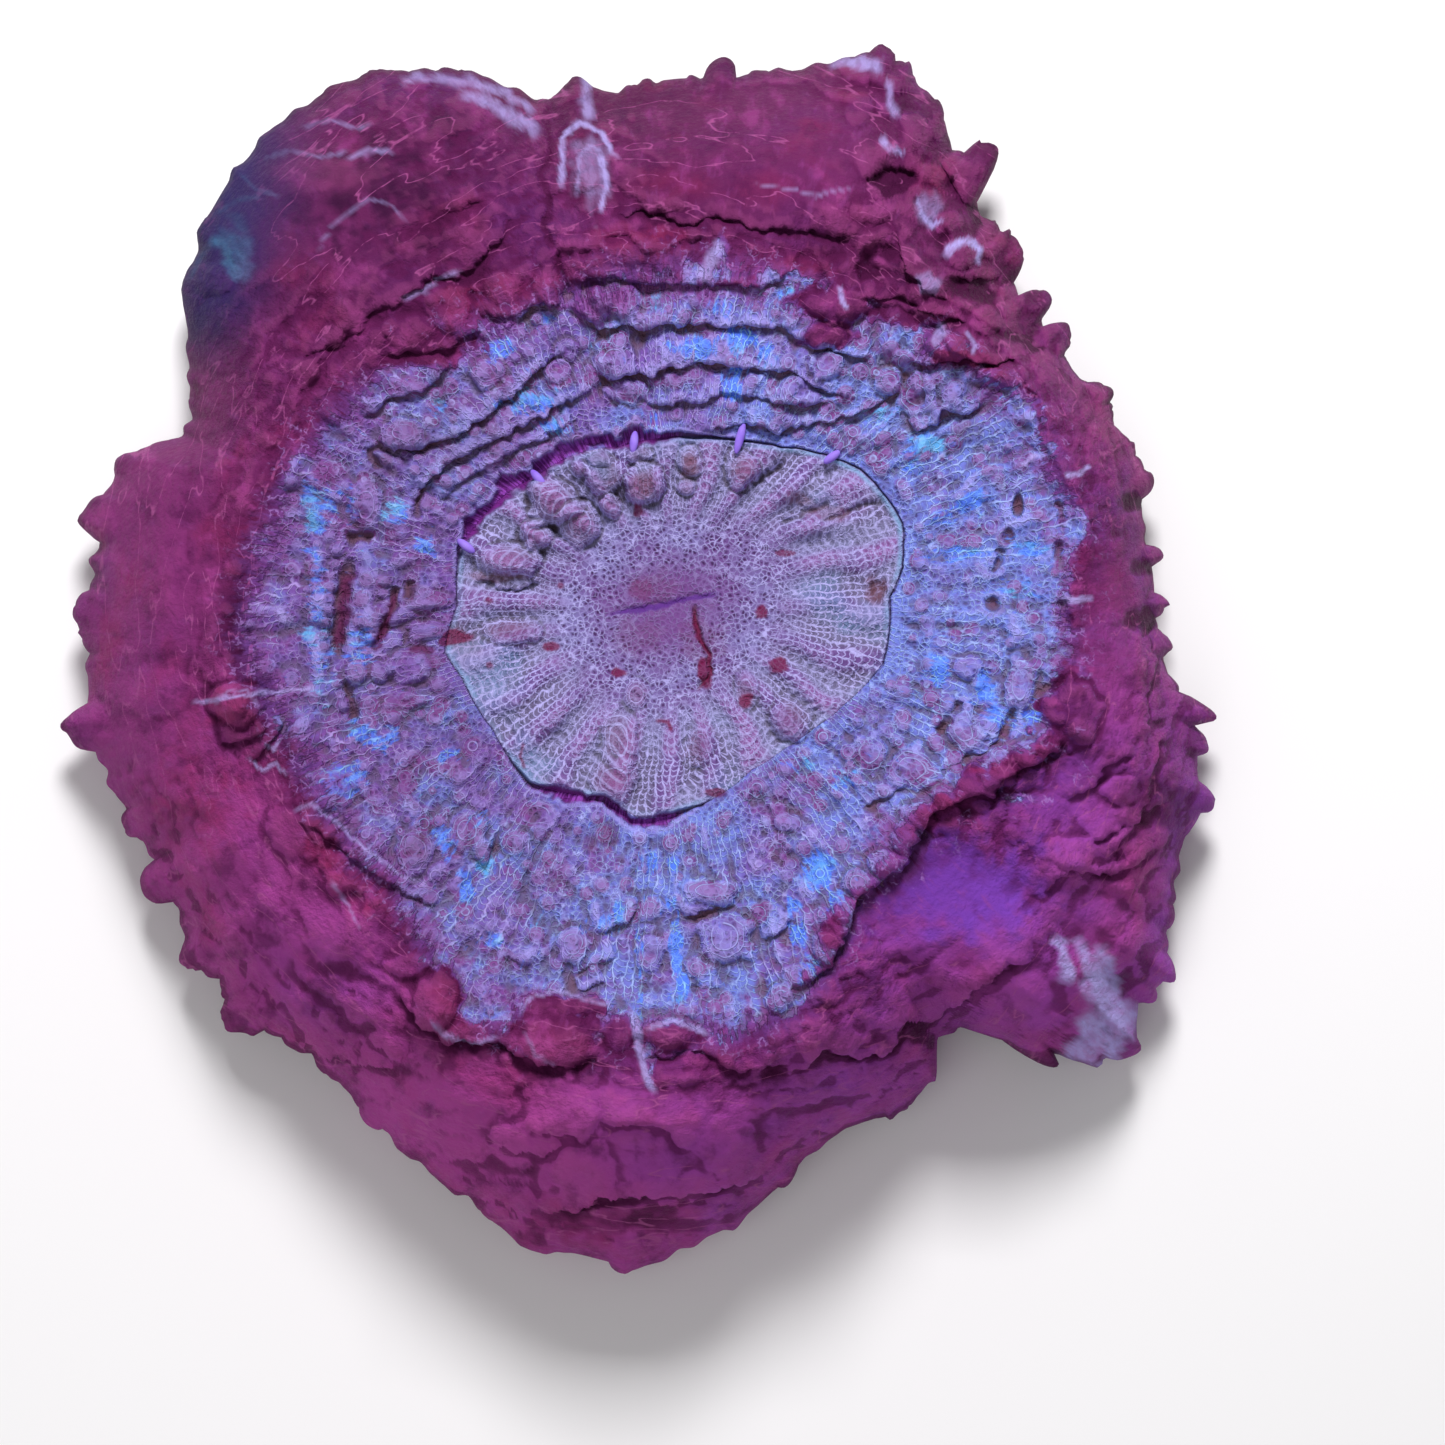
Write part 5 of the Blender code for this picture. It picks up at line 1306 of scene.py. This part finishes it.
def disc_material():
    """Lavender skin under a fine pale net, purple at the mouth, grey-green between the ribs."""
    material, wires, shader, place, flow = flesh_base("disc_flesh", 0.5)
    section, dome = wires.mark("section"), wires.mark("vesicle")
    broad = wires.noise(place, 150.0)
    rib = wires.span(wires.mark("rib"), -0.6, 0.8)
    out = wires.span(section, 0.4, 0.7)
    tone = wires.mix(wires.span(broad, 0.35, 0.65), linear(108, 78, 140), linear(122, 112, 170))
    tone = wires.over(tone, linear(116, 70, 136), wires.span(section, 0.42, 0.1, 0.0, 0.8))
    tone = wires.over(tone, linear(136, 80, 144), out, rib, wires.span(broad, 0.38, 0.6), 0.8)
    tone = wires.over(tone, linear(110, 112, 134), out, wires.rest(rib), 0.6)
    tone = wires.over(tone, linear(134, 80, 126), dome, 0.5)
    tone = wires.over(tone, linear(110, 146, 190), wires.span(wires.noise(place, 90.0, 2.0), 0.54, 0.68),
                      out, 0.5)
    fine = wires.use(NET, Place=wires.vector("MULTIPLY", place, (1500.0, 1500.0, 500.0)), Width=0.18,
                     Wander=0.9).outputs
    ringed = wires.times(wires.span(section, 0.16, 0.26), wires.span(section, 0.66, 0.4))
    pits = wires.times(fine["Dots"], wires.plus(0.3, wires.times(ringed, 0.65)))
    tone = wires.over(tone, linear(70, 40, 88), pits)
    shells = wires.use(SHELLS, Dome=dome).outputs["Lines"]
    shells = wires.times(shells, wires.span(broad, 0.4, 0.6, 0.3, 0.8))
    ladder = wires.use(LADDER, Flow=flow, Place=place, Rays=150.0, Rungs=205.0).outputs["Lines"]
    netted = wires.over(fine["Lines"], ladder, out, wires.span(broad, 0.6, 0.4, 0.5, 1.0))
    lines = wires.most(shells, wires.times(netted, wires.span(dome, 0.9, 0.3, 0.3, 1.0)))
    tone = wires.over(tone, linear(186, 180, 240), lines, wires.span(section, 0.1, 0.5, 0.2, 0.85))
    tone = wires.over(tone, linear(180, 178, 234), wires.span(wires.mark("arch"), 0.66, 0.96), out,
                      wires.span(broad, 0.36, 0.6, 0.1, 0.45))
    # Painted shade in the hollows and folds, and painted highlight on the ridges
    tone = wires.shaded(tone, wires.mark("hollow"), wires.mark("fold"), dips=(88, 84, 100),
                        depths=(66, 50, 62), ridges=(166, 146, 212), share=0.4)
    # Brown tint from the brown mark: brown flesh, and painted shade in pits
    tone = wires.over(tone, linear(116, 60, 64), wires.mark("brown"), 0.75)
    tone = wires.over(tone, linear(124, 166, 208), wires.mark("margin"),
                      wires.span(broad, 0.4, 0.6, 0.25, 0.7))
    tone = wires.over(tone, linear(112, 40, 126), wires.mark("gap"))
    # Painted shade along the closed part of the slit
    tone = wires.over(tone, linear(58, 44, 110), wires.mark("thread"), 0.85)
    tone = wires.over(tone, linear(92, 48, 136), wires.mark("mouth"), 0.85)
    tone = wires.over(tone, linear(112, 20, 64), wires.mark("red"), 0.85)
    wires.put(shader.inputs["Base Color"], tone)
    grain = wires.noise(place, 1500.0)
    height = wires.plus(wires.times(fine["Lines"], 0.8), wires.times(grain, 0.5))
    wires.bumped(shader, wires.maths("SUBTRACT", height, wires.times(pits, 0.9)), 0.6, 0.0003)
    wires.put(shader.inputs["Roughness"], wires.span(grain, 0.3, 0.7, 0.42, 0.6))
    return material


disc.data.materials.append(disc_material())


# Tentacles.
# Five short tips of feeding tentacles that look out of the open part of the slit: smooth, glassy violet
# flesh, rooted under the ring's inner edge.

# By photo pixel: x, y, direction in degrees, length in mm
TENTACLES = (
    (466, 546, -38, 2.8), (538, 478, -50, 2.8), (634, 442, 84, 3.0), (740, 438, 76, 4.4),
    (832, 457, 38, 2.6),
)
TENTACLE_HALF = 0.55
TENTACLE_LIFT = 0.6


def tentacle_tips():
    """The tips as one mesh of stretched balls, each laid in the slit along its own direction."""
    tips = bmesh.new()
    for pixel_x, pixel_y, slant, length in TENTACLES:
        middle = lay(*seen(pixel_x, pixel_y), DISC_EDGE_HEIGHT + TENTACLE_LIFT) * MM
        ball = bmesh.ops.create_uvsphere(tips, u_segments=24, v_segments=16, radius=TENTACLE_HALF * MM)
        stretch = Matrix.Diagonal((0.5 * length / TENTACLE_HALF, 1.0, 0.9, 1.0))
        turn = Matrix.Rotation(math.radians(slant), 4, "Z")
        bmesh.ops.transform(tips, matrix=Matrix.Translation(middle) @ turn @ stretch, verts=ball["verts"])
    mesh = bpy.data.meshes.new("tentacles")
    tips.to_mesh(mesh)
    tips.free()
    mesh.shade_smooth()
    return mesh


tentacles = bpy.data.objects.new("tentacles", tentacle_tips())
bpy.context.scene.collection.objects.link(tentacles)
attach(tentacles, "root")
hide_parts("coral")


def tentacle_material():
    """Glassy violet flesh, paler in soft patches."""
    material, wires, shader, place, _ = flesh_base("tentacle_flesh", 0.3)
    wires.put(shader.inputs["Base Color"],
              wires.mix(wires.noise(place, 600.0), linear(118, 72, 206), linear(176, 150, 246)))
    return material


tentacles.data.materials.append(tentacle_material())
